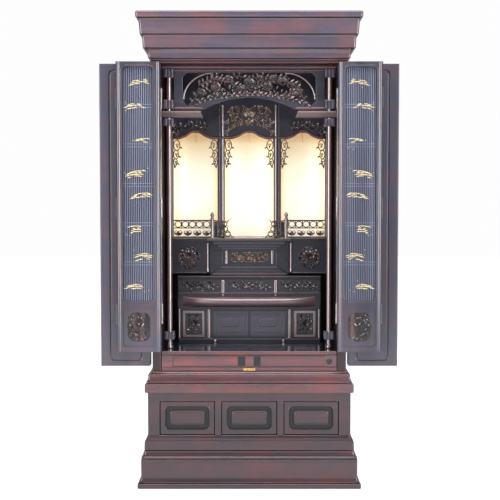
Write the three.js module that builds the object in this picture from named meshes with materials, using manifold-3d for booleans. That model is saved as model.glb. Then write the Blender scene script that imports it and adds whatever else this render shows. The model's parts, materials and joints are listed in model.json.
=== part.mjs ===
// A floor-standing household altar cabinet in rosewood, with two folding outer doors, two folding
// lattice doors behind them, and a carved shrine interior of three niches over stepped stands.
// Millimetres, +Z up, the front faces -Y, and the origin is on the floor under the middle of the plinth.
// The doors stand fully open and folded, the drawers are shut.
import * as THREE from 'three';
import { mergeVertices } from 'three/addons/utils/BufferGeometryUtils.js';
import Module from 'manifold-3d';

const wasm = await Module();
wasm.setup();

// ---------------------------------------------------------------- driving dimensions

const BODY = 300; // half the width over the front posts
const FACE = -225; // Y of the front plane of the posts
const BACK = 270; // Y of the back of the whole cabinet
const GAP = 0.3; // clearance between neighbouring pieces
const CORNER = 5; // chamfer on the front corners of the mouldings

const BASE_TOP = 357; // top of the base, where the body stands
const FLOOR = 419; // top of the floor board inside the doors
const BODY_TOP = 1311; // underside of the cornice
const POST = { inner: 271, depth: 30 };
const SIDE_BOARD = { inner: 284, outer: 297, rail: 60 };
const BACK_BOARD = 8;

const PANEL = { z0: 159, z1: 265, split0: 86.5, split1: 106.3, outer: 277, thick: 14, set: 3 };

// a door's leaves lie behind (1) or before (-1) its pin line, the first one `clear` of it
const OUTER_DOOR = {
  axisX: 307, axisIn: 2.7, lies: 1, clear: 6, edge: 0.7, pair: 0.6,
  width: 152.65, thick: 20, z0: 371.2, z1: 1303.5,
};
const LATTICE_DOOR = {
  axisX: 269.5, axisIn: 0, lies: -1, clear: 1, edge: 0.7, pair: 0.6,
  width: 133.9, thick: 16, z0: 421.2, z1: 1303.5,
};
const KNUCKLE = { radius: 2.9, pin: 0.7, length: 62, inset: 107 };
const EASED = 1.2; // chamfer on a leaf's plain upright edges
const FOLD_EASED = 4.3; // chamfer that leaves room for the barrels of a fold
const SWING_EASED = 3.2; // chamfer that leaves room for the barrels beside a post

const PILLAR = { x: 250.5, in: 53, radius: 8, collar: 15.5 };
const TRANSOM = { half: 234.4, in: 48, thick: 10, z0: 1169, z1: 1293.2, open: 207, lip: 11, cut: 12 };
const STAND = { in: 240, z0: 643.5, z1: 762, inner: 133, back: 399 };
const TABLE_TOP = STAND.z1;
const ON_TABLE = TABLE_TOP + GAP; // foot of everything that stands on the table and the stands
const SCREEN = { in: 252, thick: 10, spring: 1092, apex: 1114, top: 1304.4 };
const NICHE = { side: 180, halfSide: 73, half: 80, column: 89.3 };
const STEP = { in: 190, half: 236, back: 390 };
const SMALL_DRAWER = { x0: 4, x1: 119.5, z0: 437, z1: 522.5, deep: 150 };

// ---------------------------------------------------------------- materials

const wood = (color, roughness = 0.32) => new THREE.MeshStandardMaterial({ color, roughness, metalness: 0 });
const ROSEWOOD = () => wood(0x5a3034);
const DOOR_WOOD = () => wood(0x4c343c, 0.28);
const DARK_WOOD = () => wood(0x2a1c20, 0.25);
const CARVED_WOOD = () => wood(0x3a2224, 0.35);
const BROCADE = () => wood(0xf2e6c4, 0.8);
const HINGE_METAL = () => new THREE.MeshStandardMaterial({ color: 0xb9bcc0, roughness: 0.3, metalness: 1 });
const BRASS = () => new THREE.MeshStandardMaterial({ color: 0xc9a24e, roughness: 0.3, metalness: 1 });

// ---------------------------------------------------------------- solids and geometry

/** Turns a closed geometry into a solid that can be joined and cut. */
function solid(geometry) {
  const bare = new THREE.BufferGeometry();
  bare.setAttribute('position', geometry.attributes.position.clone());
  if (geometry.index) bare.setIndex(geometry.index.clone());
  const merged = mergeVertices(bare, 1e-4);
  const faces = [];
  for (let i = 0; i < merged.index.count; i += 3) {
    const [a, b, c] = [0, 1, 2].map((k) => merged.index.getX(i + k));
    if (a !== b && b !== c && c !== a) faces.push(a, b, c);
  }
  return new wasm.Manifold(new wasm.Mesh({
    numProp: 3,
    vertProperties: new Float32Array(merged.attributes.position.array),
    triVerts: new Uint32Array(faces),
  }));
}

/** Gives a solid back as a three.js geometry. */
function geometryOf(body) {
  const mesh = body.getMesh();
  const geometry = new THREE.BufferGeometry();
  geometry.setAttribute('position', new THREE.BufferAttribute(mesh.vertProperties, 3));
  geometry.setIndex(new THREE.BufferAttribute(mesh.triVerts, 1));
  geometry.computeVertexNormals();
  return geometry;
}

const join = (bodies) => bodies.slice(1).reduce((all, next) => all.add(next), bodies[0]);
const cut = (body, tools) => tools.reduce((left, tool) => left.subtract(tool), body);

/** The same solid on the other side of the cabinet's middle plane. */
function mirrored(body) {
  const geometry = geometryOf(body).scale(-1, 1, 1);
  const index = geometry.index;
  for (let i = 0; i < index.count; i += 3) {
    const second = index.getX(i + 1);
    index.setX(i + 1, index.getX(i + 2));
    index.setX(i + 2, second);
  }
  return solid(geometry);
}

/** A box between two X, two Y and two Z values. */
function block(x0, x1, y0, y1, z0, z1) {
  const box = new THREE.BoxGeometry(Math.abs(x1 - x0), Math.abs(y1 - y0), Math.abs(z1 - z0));
  return solid(box.translate((x0 + x1) / 2, (y0 + y1) / 2, (z0 + z1) / 2));
}

const shapeOf = (points) => new THREE.Shape(points.map(([a, b]) => new THREE.Vector2(a, b)));
const extrude = (shape, depth, curveSegments = 3) => (
  new THREE.ExtrudeGeometry(shape, { depth, bevelEnabled: false, curveSegments }));

/** A plan outline carried up from z0 to z1. */
const prismZ = (shape, z0, z1) => solid(extrude(shape, z1 - z0).translate(0, 0, z0));

/** A front outline (x, z) carried from y0 back to y1. */
function prismY(shape, y0, y1, curveSegments = 3) {
  return solid(extrude(shape, y1 - y0, curveSegments).rotateX(Math.PI / 2).translate(0, y1, 0));
}

/** A side outline (y, z) carried from x0 to x1. */
function prismX(shape, x0, x1) {
  const turn = new THREE.Matrix4().makeBasis(
    new THREE.Vector3(0, 1, 0), new THREE.Vector3(0, 0, 1), new THREE.Vector3(1, 0, 0));
  return solid(extrude(shape, x1 - x0).applyMatrix4(turn).translate(x0, 0, 0));
}

/** A closed solid from its points and the corners of its faces. */
function closed(points, faces) {
  const geometry = new THREE.BufferGeometry();
  geometry.setAttribute('position', new THREE.Float32BufferAttribute(points.flat(), 3));
  geometry.setIndex(faces);
  return solid(geometry);
}

/** A closed skin over rings of equally many points, the first ring lowest, each running anticlockwise. */
function loft(rings) {
  const count = rings[0].length;
  const faces = [];
  for (let r = 0; r + 1 < rings.length; r += 1) {
    for (let i = 0; i < count; i += 1) {
      const a = r * count + i;
      const b = r * count + ((i + 1) % count);
      faces.push(a, b, b + count, a, b + count, a + count);
    }
  }
  const last = (rings.length - 1) * count;
  for (let i = 1; i + 1 < count; i += 1) {
    faces.push(0, i + 1, i, last, last + i, last + i + 1);
  }
  return closed(rings.flat(), faces);
}

/** A block moulded on its front and sides: levels are [z, how far it stands out]. */
function mouldedBlock(levels, { half = BODY, front = FACE, back = BACK, depthScale = 1 } = {}) {
  return loft(levels.map(([z, out]) => {
    const x = half + out;
    const y = front - out * depthScale;
    return [
      [-x, back, z], [-x, y + CORNER, z], [-x + CORNER, y, z],
      [x - CORNER, y, z], [x, y + CORNER, z], [x, back, z],
    ];
  }));
}

/** A turned solid about an upright axis: profile points are [radius, z], from axis to axis. */
function turned(profile, x, y, segments = 8) {
  const points = profile.map(([r, z]) => new THREE.Vector2(r, z));
  const lathe = new THREE.LatheGeometry(points, segments).rotateX(Math.PI / 2);
  return solid(lathe.translate(x, y, 0));
}

/** A rectangle outline with cut corners, as points. */
const cutRect = (x0, x1, z0, z1, c) => [
  [x0 + c, z0], [x1 - c, z0], [x1, z0 + c], [x1, z1 - c],
  [x1 - c, z1], [x0 + c, z1], [x0, z1 - c], [x0, z0 + c],
];

const pathOf = (points) => new THREE.Path(points.map(([a, b]) => new THREE.Vector2(a, b)));

/** An outline with one hole in it. */
function ringShape(outer, inner) {
  const ring = shapeOf(outer);
  ring.holes.push(pathOf(inner));
  return ring;
}

// ---------------------------------------------------------------- carving

/** One carved leaf or petal: a faceted lozenge with its ridge `proud` of the face y, pointing along `turn`. */
function petal(x, y, z, length, width, turn, proud) {
  const lozenge = new THREE.OctahedronGeometry(1).scale(width / 2, proud, length / 2);
  return solid(lozenge.rotateY(turn).translate(x, y, z));
}

/** A round flower: petals ridged along their middles about a raised heart, its rim in the face y. */
function flower(x, y, z, radius, count, proud) {
  const sides = 2 * count;
  const rim = y + 0.3;
  const points = [[x, y - proud * 1.2, z], [x, y + 1.5, z]];
  for (const [petalReach, petalOut, valleyReach, valleyOut] of [
    [0.5, 0.8 * proud, 0.34, 0.3 * proud], [1, -0.3, 0.66, -0.3],
  ]) {
    for (let i = 0; i < sides; i += 1) {
      const turn = (i / sides) * 2 * Math.PI;
      const [reach, out] = i % 2 ? [valleyReach, valleyOut] : [petalReach, petalOut];
      points.push([x + radius * reach * Math.sin(turn), y - out, z + radius * reach * Math.cos(turn)]);
    }
  }
  const faces = [];
  for (let i = 0; i < sides; i += 1) {
    const [near, far] = [2 + i, 2 + sides + i];
    const step = i + 1 < sides ? 1 : 1 - sides;
    faces.push(0, near + step, near, near, near + step, far + step, near, far + step, far, 1, far, far + step);
  }
  points[1][1] = Math.max(points[1][1], rim + 1);
  return closed(points, faces);
}

/** A carved tendril along a path (x, z) = path(t): a ridge with leaf tips leaning off both sides. */
function tendril(path, y, steps, width, proud, root = 1.5) {
  const rim = y + 0.3;
  const points = [];
  const at = (t, side, reach) => {
    const [x, z] = path(t);
    const [nx, nz] = path(t + 0.001);
    const length = Math.hypot(nx - x, nz - z);
    return [x - (side * reach * (nz - z)) / length, rim, z + (side * reach * (nx - x)) / length];
  };
  const perStep = 6; // ridge, root, two notches, two leaf tips
  for (let i = 0; i <= steps; i += 1) {
    const t = i / steps;
    const [x, z] = path(t);
    const tip = Math.min(t + 0.85 / steps, 1);
    points.push([x, y - proud, z], [x, y + root, z], at(t, 1, width * 0.14), at(t, -1, width * 0.14),
      at(tip, 1, width / 2), at(tip, -1, width / 2));
  }
  const faces = [];
  for (let i = 0; i < steps; i += 1) {
    const [ridge, base, left, right, tipLeft, tipRight] = [0, 1, 2, 3, 4, 5].map((k) => i * perStep + k);
    const [nextRidge, nextBase, nextLeft, nextRight] = [0, 1, 2, 3].map((k) => (i + 1) * perStep + k);
    faces.push(ridge, nextRidge, tipLeft, ridge, tipLeft, left, nextRidge, nextLeft, tipLeft);
    faces.push(ridge, tipRight, nextRidge, ridge, right, tipRight, nextRidge, tipRight, nextRight);
    faces.push(base, tipLeft, nextBase, base, left, tipLeft, nextBase, tipLeft, nextLeft);
    faces.push(base, nextBase, tipRight, base, tipRight, right, nextBase, nextRight, tipRight);
  }
  const end = steps * perStep;
  faces.push(0, 2, 1, 0, 1, 3, end, end + 1, end + 2, end, end + 3, end + 1);
  return closed(points, faces);
}

// ---------------------------------------------------------------- the cabinet

const cabinet = new THREE.Group();

function add(name, body, material) {
  const mesh = new THREE.Mesh(geometryOf(body), material);
  mesh.name = name;
  cabinet.add(mesh);
}

function addPair(name, right, material) {
  add(`${name}_right`, right, material());
  add(`${name}_left`, mirrored(right), material());
}

// ---- base: plinth, lower moulding, panelled case and top moulding

function plinth() {
  const shell = mouldedBlock([
    [0, 42], [2, 44], [11, 44], [14.5, 42], [22, 38], [40, 33.5], [86, 33.5], [88, 32],
  ]);
  const wall = 20;
  return cut(shell, [
    block(-BODY - 33 + wall, BODY + 33 - wall, FACE - 33 + wall, BACK - wall, 9, 90),
  ]);
}

function lowerMoulding() {
  const ring = mouldedBlock([[88.3, 31], [90, 33], [98, 29], [113, 24], [139, 23.5], [142, 21.5]]);
  return cut(ring, [block(-BODY, BODY, FACE + 2, BACK - 22, 80, 150)]);
}

const PANEL_SPANS = {
  left: [-PANEL.outer, -PANEL.split1],
  centre: [-PANEL.split0, PANEL.split0],
  right: [PANEL.split1, PANEL.outer],
};
const CASE_OUT = 13.7;

function baseCase() {
  const shell = mouldedBlock([[142.3, 22], [145, 21], [151, 17], [160, CASE_OUT], [290.7, CASE_OUT]]);
  const front = FACE - CASE_OUT;
  const openings = Object.values(PANEL_SPANS).map(([x0, x1]) => (
    block(x0, x1, front - 1, front + 30, PANEL.z0, PANEL.z1)));
  return cut(shell, [block(-BODY + 2, BODY - 2, front + 18, BACK + 1, 140, 300), ...openings]);
}

/** A raised panel: a flat border, then a sunk ring that slopes up to an eight-sided field. */
function basePanel([x0, x1]) {
  const y = FACE - CASE_OUT + PANEL.set;
  const [border, ring, depth] = [17, 17, 4];
  const [a0, a1, c0, c1] = [x0 + GAP, x1 - GAP, PANEL.z0 + GAP, PANEL.z1 - GAP];
  const slab = block(a0, a1, y, y + PANEL.thick, c0, c1);
  const outer = cutRect(a0 + border, a1 - border, c0 + border, c1 - border, 12);
  const b = border + ring;
  const inner = cutRect(a0 + b, a1 - b, c0 + b - 3, c1 - b + 3, 7);
  const at = (points, depthIn) => points.map(([x, z]) => [x, y + depthIn, z]);
  const slope = loft([at(outer, depth + 1), at(outer, depth), at(inner, 1.4)]);
  const field = prismY(shapeOf(inner), y, y + depth + 1);
  return join([cut(slab, [prismY(shapeOf(outer), y - 1, y + depth)]), slope, field]);
}

function baseTop() {
  const shell = mouldedBlock([
    [291, 21], [293, 22.5], [317, 22.5], [319, 21], [320, 18.5], [324, 18],
    [335, 14.5], [346, 12.5], [349, 9], [BASE_TOP, 1],
  ]);
  return cut(shell, [block(-BODY + 10, BODY - 10, FACE + 12, BACK - 20, 280, 342)]);
}

add('plinth', plinth(), ROSEWOOD());
add('lower_moulding', lowerMoulding(), ROSEWOOD());
add('base_case', baseCase(), ROSEWOOD());
for (const [place, span] of Object.entries(PANEL_SPANS)) {
  add(`base_panel_${place}`, basePanel(span), ROSEWOOD());
}
add('base_back', block(-BODY + 2 + GAP, BODY - 2 - GAP, BACK - 9, BACK, 142.6, 290.4), DARK_WOOD());
add('base_top_moulding', baseTop(), ROSEWOOD());

// ---- body: posts, sides, back, floor, ceiling and cornice

const STANDS_ON_BASE = BASE_TOP + GAP;
const UNDER_CORNICE = BODY_TOP - GAP;
const CEILING = 1304.8; // underside of the ceiling board

/** Heights of the middles of the three hinges on a door. */
const hingeHeights = ({ z0, z1 }) => [z0 + KNUCKLE.inset + 8, (z0 + z1) / 2, z1 - KNUCKLE.inset];

/** A front post, its inner arris cut back for the barrels of the lattice door. */
function frontPost() {
  return prismZ(shapeOf([
    [POST.inner + SWING_EASED, FACE], [BODY - 2, FACE], [BODY, FACE + 2],
    [BODY, FACE + POST.depth], [POST.inner, FACE + POST.depth], [POST.inner, FACE + SWING_EASED],
  ]), STANDS_ON_BASE, UNDER_CORNICE);
}

/** A side frame with a sunk board, its back stile running the whole height. */
function sidePanel() {
  const [y0, y1] = [FACE + POST.depth + GAP, BACK - BACK_BOARD - GAP];
  const board = block(SIDE_BOARD.inner, BODY, y0, y1, STANDS_ON_BASE, UNDER_CORNICE);
  const field = block(SIDE_BOARD.outer, BODY + 1, y0 + 26, y1 - 40,
    STANDS_ON_BASE + SIDE_BOARD.rail, UNDER_CORNICE - SIDE_BOARD.rail);
  return cut(board, [field]);
}

/** A board that fills the body from side to side, notched round the front posts. */
function bodyBoard(z0, z1) {
  const wide = SIDE_BOARD.inner - GAP;
  const narrow = POST.inner - GAP;
  const [front, behindPost, back] = [FACE + 0.5, FACE + POST.depth + GAP, BACK - BACK_BOARD - GAP];
  return prismZ(shapeOf([
    [-narrow, front], [narrow, front], [narrow, behindPost], [wide, behindPost],
    [wide, back], [-wide, back], [-wide, behindPost], [-narrow, behindPost],
  ]), z0, z1);
}

function cornice() {
  const shell = mouldedBlock([
    [BODY_TOP, 2], [1317, 5], [1317, 7], [1322, 8], [1345, 20], [1345, 23], [1376, 24.5],
    [1386, 30], [1386, 31], [1428, 34.5], [1434, 38], [1434, 40], [1438, 43], [1451, 43], [1454, 40],
  ]);
  return cut(shell, [block(-BODY + 18, BODY - 18, FACE + 18, BACK - 18, BODY_TOP - 1, 1440)]);
}

addPair('front_post', frontPost(), ROSEWOOD);
addPair('side_panel', sidePanel(), ROSEWOOD);
add('back_panel', block(-BODY, BODY, BACK - BACK_BOARD, BACK, STANDS_ON_BASE, UNDER_CORNICE), DARK_WOOD());
add('floor_board', bodyBoard(407, FLOOR), ROSEWOOD());
add('ceiling_board', bodyBoard(CEILING, UNDER_CORNICE), ROSEWOOD());
add('cornice', cornice(), ROSEWOOD());

// ---- the wide drawer and the pull-out shelf under the floor

/** An open-topped box behind a front, between two X values, running back from y. */
function drawerBox(x0, x1, y0, y1, z0, z1, wall) {
  return cut(block(x0, x1, y0, y1, z0, z1), [
    block(x0 + wall, x1 - wall, y0 + wall, y1 - wall, z0 + wall, z1 + 1),
  ]);
}

const WIDE_DRAWER = { half: POST.inner - GAP, z0: 368.3, z1: 406.6, deep: 380, lockX: 248, lockZ: 386.5 };

function wideDrawer() {
  const { half, z0, z1, deep } = WIDE_DRAWER;
  const front = block(-half, half, FACE + 0.5, FACE + 18, z0, z1);
  const sunk = [-1, 1].flatMap((side) => [
    block(side * 35, side * 236, FACE, FACE + 2.5, z0 + 3.5, z1 - 5.5),
    block(side * 14, side * 34, FACE, FACE + 11, z0 + 5, z1 - 7),
  ]);
  const box = drawerBox(-half + 4, half - 4, FACE + 17, FACE + deep, z0 + 1, z1 - 4, 8);
  const lockHole = turned([[0, 0], [9.3, 0], [9.3, 5], [0, 5]], 0, 0, 12);
  const hole = solid(geometryOf(lockHole).rotateX(-Math.PI / 2)
    .translate(WIDE_DRAWER.lockX, FACE, WIDE_DRAWER.lockZ));
  return cut(join([front, box]), [...sunk, hole]);
}

function drawerLock() {
  const disc = turned([[0, 0], [7.5, 0], [9, 1.2], [9, 4], [0, 4]], 0, 0, 12);
  return solid(geometryOf(disc).rotateX(-Math.PI / 2)
    .translate(WIDE_DRAWER.lockX, FACE - 0.2, WIDE_DRAWER.lockZ));
}

const SHELF = { z0: 357.6, z1: 367.8, deep: 330 };

/** A drop tab hung on the middle of the shelf's edge. */
function shelfPull() {
  const tab = prismY(shapeOf(cutRect(-19, 19, SHELF.z0 + 0.8, SHELF.z1 - 1.2, 2.5)), FACE - 4, FACE - 1.6);
  const stem = block(-9, 9, FACE - 2.5, FACE + 0.2, SHELF.z1 - 5, SHELF.z1 - 1.8);
  return join([tab, stem]);
}

add('wide_drawer', wideDrawer(), ROSEWOOD());
add('drawer_lock', drawerLock(), HINGE_METAL());
add('pull_out_shelf', block(-WIDE_DRAWER.half, WIDE_DRAWER.half, FACE + 0.5, FACE + SHELF.deep,
  SHELF.z0, SHELF.z1), ROSEWOOD());
add('shelf_pull', shelfPull(), BRASS());

// ---- doors: every leaf stands along X beside the opening, folded flat on its pair

const swingAxis = (door) => ({ x: door.axisX, y: FACE + door.axisIn });

/** Where a leaf stands: X from the hinge out, and Y by how many leaves lie between it and the pin line. */
function leafPlace(door, folded) {
  const x0 = door.axisX + door.edge;
  const near = door.clear + (folded ? door.thick + door.pair : 0);
  const ys = [near, near + door.thick].map((d) => swingAxis(door).y + door.lies * d);
  return { x0, x1: x0 + door.width, y0: Math.min(...ys), y1: Math.max(...ys) };
}

/** The upright pin line where a folding leaf turns on its neighbour. */
function foldAxis(door) {
  const reach = door.clear + door.thick + door.pair / 2;
  return {
    x: door.axisX + door.edge + door.width + door.pair / 2,
    y: swingAxis(door).y + door.lies * reach,
  };
}

/** A leaf's board, chamfered more where a pin line runs past its edge. */
function leafBoard(door, folded) {
  const { x0, x1, y0, y1 } = leafPlace(door, folded);
  const foldsInFront = (door.lies < 0) !== folded;
  const [atFront, atBack] = foldsInFront ? [FOLD_EASED, EASED] : [EASED, FOLD_EASED];
  const atSwing = folded || door.lies > 0 ? EASED : SWING_EASED;
  return prismZ(shapeOf([
    [x0 + EASED, y0], [x1 - atFront, y0], [x1, y0 + atFront], [x1, y1 - atBack],
    [x1 - atBack, y1], [x0 + atSwing, y1], [x0, y1 - atSwing], [x0, y0 + EASED],
  ]), door.z0, door.z1);
}

/** An outer leaf: a board with a sunk ring round a broad field on both faces. */
function outerLeaf(folded) {
  const door = OUTER_DOOR;
  const place = leafPlace(door, folded);
  const [x0, x1, z0, z1] = [place.x0 + 23, place.x1 - 29, door.z0 + 16, door.z1 - 18];
  const ring = ringShape(cutRect(x0, x1, z0, z1, 10), cutRect(x0 + 7, x1 - 7, z0 + 7, z1 - 7, 7));
  const grooves = [[place.y0 - 1, place.y0 + 3], [place.y1 - 3, place.y1 + 1]].map(([y0, y1]) => (
    prismY(ring, y0, y1)));
  return cut(leafBoard(door, folded), grooves);
}

const LATTICE = { stile: 19.5, top: 16, rail1: 576.5, corner: 9, rabbet: 4, slats: 10 };
const LOWER_PANEL = { z0: 437.2, z1: 560, sunk: 4 };

/** Which way a lattice leaf's outer face looks: the folding leaf shows it to the room, the other hides it. */
const outwardOf = (folded) => (folded ? -1 : 1);

function latticeLeaf(folded) {
  const door = LATTICE_DOOR;
  const place = leafPlace(door, folded);
  const { x0, x1, y0, y1 } = place;
  const outward = outwardOf(folded);
  const outer = outward < 0 ? y0 : y1;
  const inner = outward < 0 ? y1 : y0;
  const [a0, a1] = [x0 + LATTICE.stile, x1 - LATTICE.stile];
  const [z0, z1] = [LATTICE.rail1, door.z1 - LATTICE.top];
  const wide = LATTICE.rabbet;
  const rabbetDepth = door.thick - 6;
  const opening = prismY(shapeOf(cutRect(a0, a1, z0, z1, LATTICE.corner)), y0 - 1, y1 + 1);
  const rabbet = block(a0 - wide, a1 + wide, inner, inner + outward * rabbetDepth, z0 - wide, z1 + wide);
  const sinking = shapeOf(cutRect(a0 - 1, a1 + 1, LOWER_PANEL.z0, LOWER_PANEL.z1, 8));
  const lower = prismY(sinking, outer - LOWER_PANEL.sunk, outer + LOWER_PANEL.sunk);
  const board = cut(leafBoard(door, folded), [opening, rabbet, lower]);
  const [cx, cz] = [(x0 + x1) / 2, (LOWER_PANEL.z0 + LOWER_PANEL.z1) / 2];
  const sunkFace = outer - outward * LOWER_PANEL.sunk;
  const rimShape = ringShape(
    cutRect(cx - 36, cx + 36, cz - 45, cz + 45, 16), cutRect(cx - 31, cx + 31, cz - 40, cz + 40, 14));
  const rim = [sunkFace - outward, sunkFace + outward * 3];
  const medallion = prismY(rimShape, Math.min(...rim), Math.max(...rim));
  const spray = [[-1, -1], [-1, 1], [1, -1], [1, 1]].map(([s, v]) => (
    petal(cx + s * 15, sunkFace, cz + v * 22, 30, 13, s * v * 0.7, 3)));
  return join([board, medallion, petal(cx, sunkFace, cz, 46, 24, 0, 3.6), ...spray]);
}

/** The slatted screen of a lattice leaf: thin uprights on a fine sheet, as one comb in plan. */
function latticeScreen(folded) {
  const door = LATTICE_DOOR;
  const { x0, x1, y0, y1 } = leafPlace(door, folded);
  const outward = outwardOf(folded);
  const inner = outward < 0 ? y1 : y0;
  const wide = LATTICE.rabbet - GAP;
  const [a0, a1] = [x0 + LATTICE.stile - wide, x1 - LATTICE.stile + wide];
  const [sheet, deep, slat] = [1.2, 7, 2];
  const start = inner + outward * 2.5;
  const [ySheet, ySlat] = [start + outward * sheet, start + outward * deep];
  const pitch = (a1 - a0 - slat) / (LATTICE.slats - 1);
  const outline = [[a1, start], [a0, start]];
  for (let i = 0; i < LATTICE.slats; i += 1) {
    const x = a0 + i * pitch;
    if (i > 0) outline.push([x, ySheet]);
    outline.push([x, ySlat], [x + slat, ySlat]);
    if (i + 1 < LATTICE.slats) outline.push([x + slat, ySheet]);
  }
  return prismZ(shapeOf(outline), LATTICE.rail1 - wide, door.z1 - LATTICE.top + wide);
}

/** Three barrels on one long pin. */
function hinge(door, axis) {
  const { radius, pin, length } = KNUCKLE;
  const profile = hingeHeights(door).flatMap((z) => {
    const [low, high] = [z - length / 2, z + length / 2];
    return [[pin, low], [radius, low], [radius, high], [pin, high]];
  });
  profile[0][0] = 0;
  profile[profile.length - 1][0] = 0;
  return turned(profile, axis.x, axis.y, 5);
}

/** The outer doors' hinges also have plates that run to the sides of the posts. */
function outerSwingHinge() {
  const plates = hingeHeights(OUTER_DOOR).map((z) => {
    const [low, high] = [z - KNUCKLE.length / 2, z + KNUCKLE.length / 2];
    return block(BODY + GAP, OUTER_DOOR.axisX - 1, FACE + 2, FACE + 3.4, low, high);
  });
  return join([hinge(OUTER_DOOR, swingAxis(OUTER_DOOR)), ...plates]);
}

addPair('outer_door_hinged_leaf', outerLeaf(false), DOOR_WOOD);
addPair('outer_door_folding_leaf', outerLeaf(true), DOOR_WOOD);
addPair('lattice_door_hinged_leaf', latticeLeaf(false), DOOR_WOOD);
addPair('lattice_door_folding_leaf', latticeLeaf(true), DOOR_WOOD);
addPair('hinged_leaf_lattice', latticeScreen(false), DARK_WOOD);
addPair('folding_leaf_lattice', latticeScreen(true), DARK_WOOD);
addPair('outer_door_hinge', outerSwingHinge(), HINGE_METAL);
addPair('outer_fold_hinge', hinge(OUTER_DOOR, foldAxis(OUTER_DOOR)), HINGE_METAL);
addPair('lattice_door_hinge', hinge(LATTICE_DOOR, swingAxis(LATTICE_DOOR)), HINGE_METAL);
addPair('lattice_fold_hinge', hinge(LATTICE_DOOR, foldAxis(LATTICE_DOOR)), HINGE_METAL);

// ---- interior: pillars, beams and the openwork transom

function pillar() {
  const { x, radius, collar } = PILLAR;
  const y = FACE + PILLAR.in;
  const shaft = turned([
    [0, FLOOR + GAP], [9, FLOOR + GAP], [11, FLOOR + 9], [radius, FLOOR + 20], [radius, 1290], [0, 1290],
  ], x, y, 8);
  const collars = [[449, 475], [1116, 1139], [1169, 1197], [1266, 1292.8]].map(([z0, z1]) => (
    block(x - collar, x + collar, y - collar, y + collar, z0, z1)));
  return join([shaft, ...collars]);
}

/** A half-round beam in front of the pillar, ending in a slanted cut towards the middle. */
function beam() {
  const [z0, z1] = [1142, 1164];
  const y = FACE + PILLAR.in - PILLAR.radius - GAP;
  const profile = new THREE.Shape();
  profile.moveTo(y, z0);
  profile.lineTo(y, z1);
  profile.quadraticCurveTo(y - 7, z1, y - 7, (z0 + z1) / 2);
  profile.quadraticCurveTo(y - 7, z0, y, z0);
  const bar = prismX(profile, 143, POST.inner - GAP);
  return cut(bar, [prismY(shapeOf([[130, z0 - 1], [143, z0 - 1], [152, z1 + 1], [130, z1 + 1]]), y - 20, y + 20)]);
}

const arc = (t, half, z0, rise) => [half * (2 * t - 1), z0 + rise * (1 - (2 * t - 1) ** 2)];
const ARCH_STEPS = 8;

/** Points of a low arch from -half to half. */
function archPoints(half, z0, rise) {
  return Array.from({ length: ARCH_STEPS + 1 }, (_, i) => arc(i / ARCH_STEPS, half, z0, rise));
}

/** The transom's window: cut corners above, a low arch below, drawn in by `inset`. */
function transomWindow(inset = 0) {
  const open = TRANSOM.open - inset;
  const [low, high, c] = [TRANSOM.z0 + TRANSOM.lip + inset, TRANSOM.z1 - TRANSOM.lip - inset, TRANSOM.cut];
  return [
    [open - c, low], [open, low + c], [open, high - c], [open - c, high],
    [-open + c, high], [-open, high - c], [-open, low + c], [-open + c, low],
    ...archPoints(180, low, 33),
  ];
}

function transomFrame() {
  const { half, z0, z1, thick } = TRANSOM;
  const y = FACE + TRANSOM.in;
  const outline = shapeOf([[half, z0], [half, z1], [-half, z1], [-half, z0], ...archPoints(142, z0, 37)]);
  outline.holes.push(pathOf(transomWindow()));
  const head = block(-POST.inner + GAP, POST.inner - GAP, y - 10, y + thick + 8, z1 - 0.1, CEILING - GAP);
  return join([prismY(outline, y, y + thick), head]);
}

/** A flat bent bar between two curves of the transom carving. */
function bentBar(path, width, y0, y1, steps = 8) {
  const [left, right] = [[], []];
  for (let i = 0; i <= steps; i += 1) {
    const t = i / steps;
    const [x, z] = path(t);
    const [nx, nz] = path(t + 0.001);
    const length = Math.hypot(nx - x, nz - z);
    const [sx, sz] = [(-(nz - z) / length) * (width / 2), ((nx - x) / length) * (width / 2)];
    left.push([x + sx, z + sz]);
    right.unshift([x - sx, z - sz]);
  }
  return prismY(shapeOf([...left, ...right]), y0, y1);
}

/** Peonies and leaves between two quarter-round rods, over a garland that follows the lower arch. */
function transomCarving() {
  const y = FACE + TRANSOM.in + TRANSOM.thick / 2;
  const [y0, y1] = [y - 3, y + 3];
  const low = TRANSOM.z0 + TRANSOM.lip;
  const garland = (t) => arc(t, 186, low + 5, 34);
  const branch = (t) => [320 * (t - 0.5), 1249 + 10 * Math.sin(t * 3 * Math.PI)];
  const rods = [-1, 1].map((s) => bentBar((t) => [
    s * (203 - 86 * Math.sin((t * Math.PI) / 2)), 1202 + 74 * (1 - Math.cos((t * Math.PI) / 2)),
  ], 3.2, y0 - 1, y1 + 1, 4));
  const sideStems = [-1, 1].map((s) => tendril((t) => [
    s * (186 - 40 * t), low + 6 + (1260 - low - 6) * Math.sin((t * Math.PI) / 2),
  ], y, 3, 15, 3.6, 3));
  const blooms = [[0, 1247, 22], [-96, 1240, 18], [92, 1242, 18]];
  const carved = join([
    tendril(garland, y, 10, 20, 4.4, 3),
    tendril(branch, y, 8, 20, 4, 3),
    ...rods,
    ...sideStems,
    ...blooms.map(([x, z, r]) => flower(x, y, z, r, 5, 4.6)),
    ...[-58, 0, 58].map((x) => block(x - 2, x + 2, y0, y1, 1210, 1250)),
  ]);
  return carved.intersect(prismY(shapeOf(transomWindow(GAP)), y - 20, y + 20));
}

addPair('pillar', pillar(), CARVED_WOOD);
addPair('beam', beam(), CARVED_WOOD);
add('transom_frame', transomFrame(), CARVED_WOOD());
add('transom_carving', transomCarving(), CARVED_WOOD());

// ---- interior: three arched screens, the niche walls and their brocade

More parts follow.
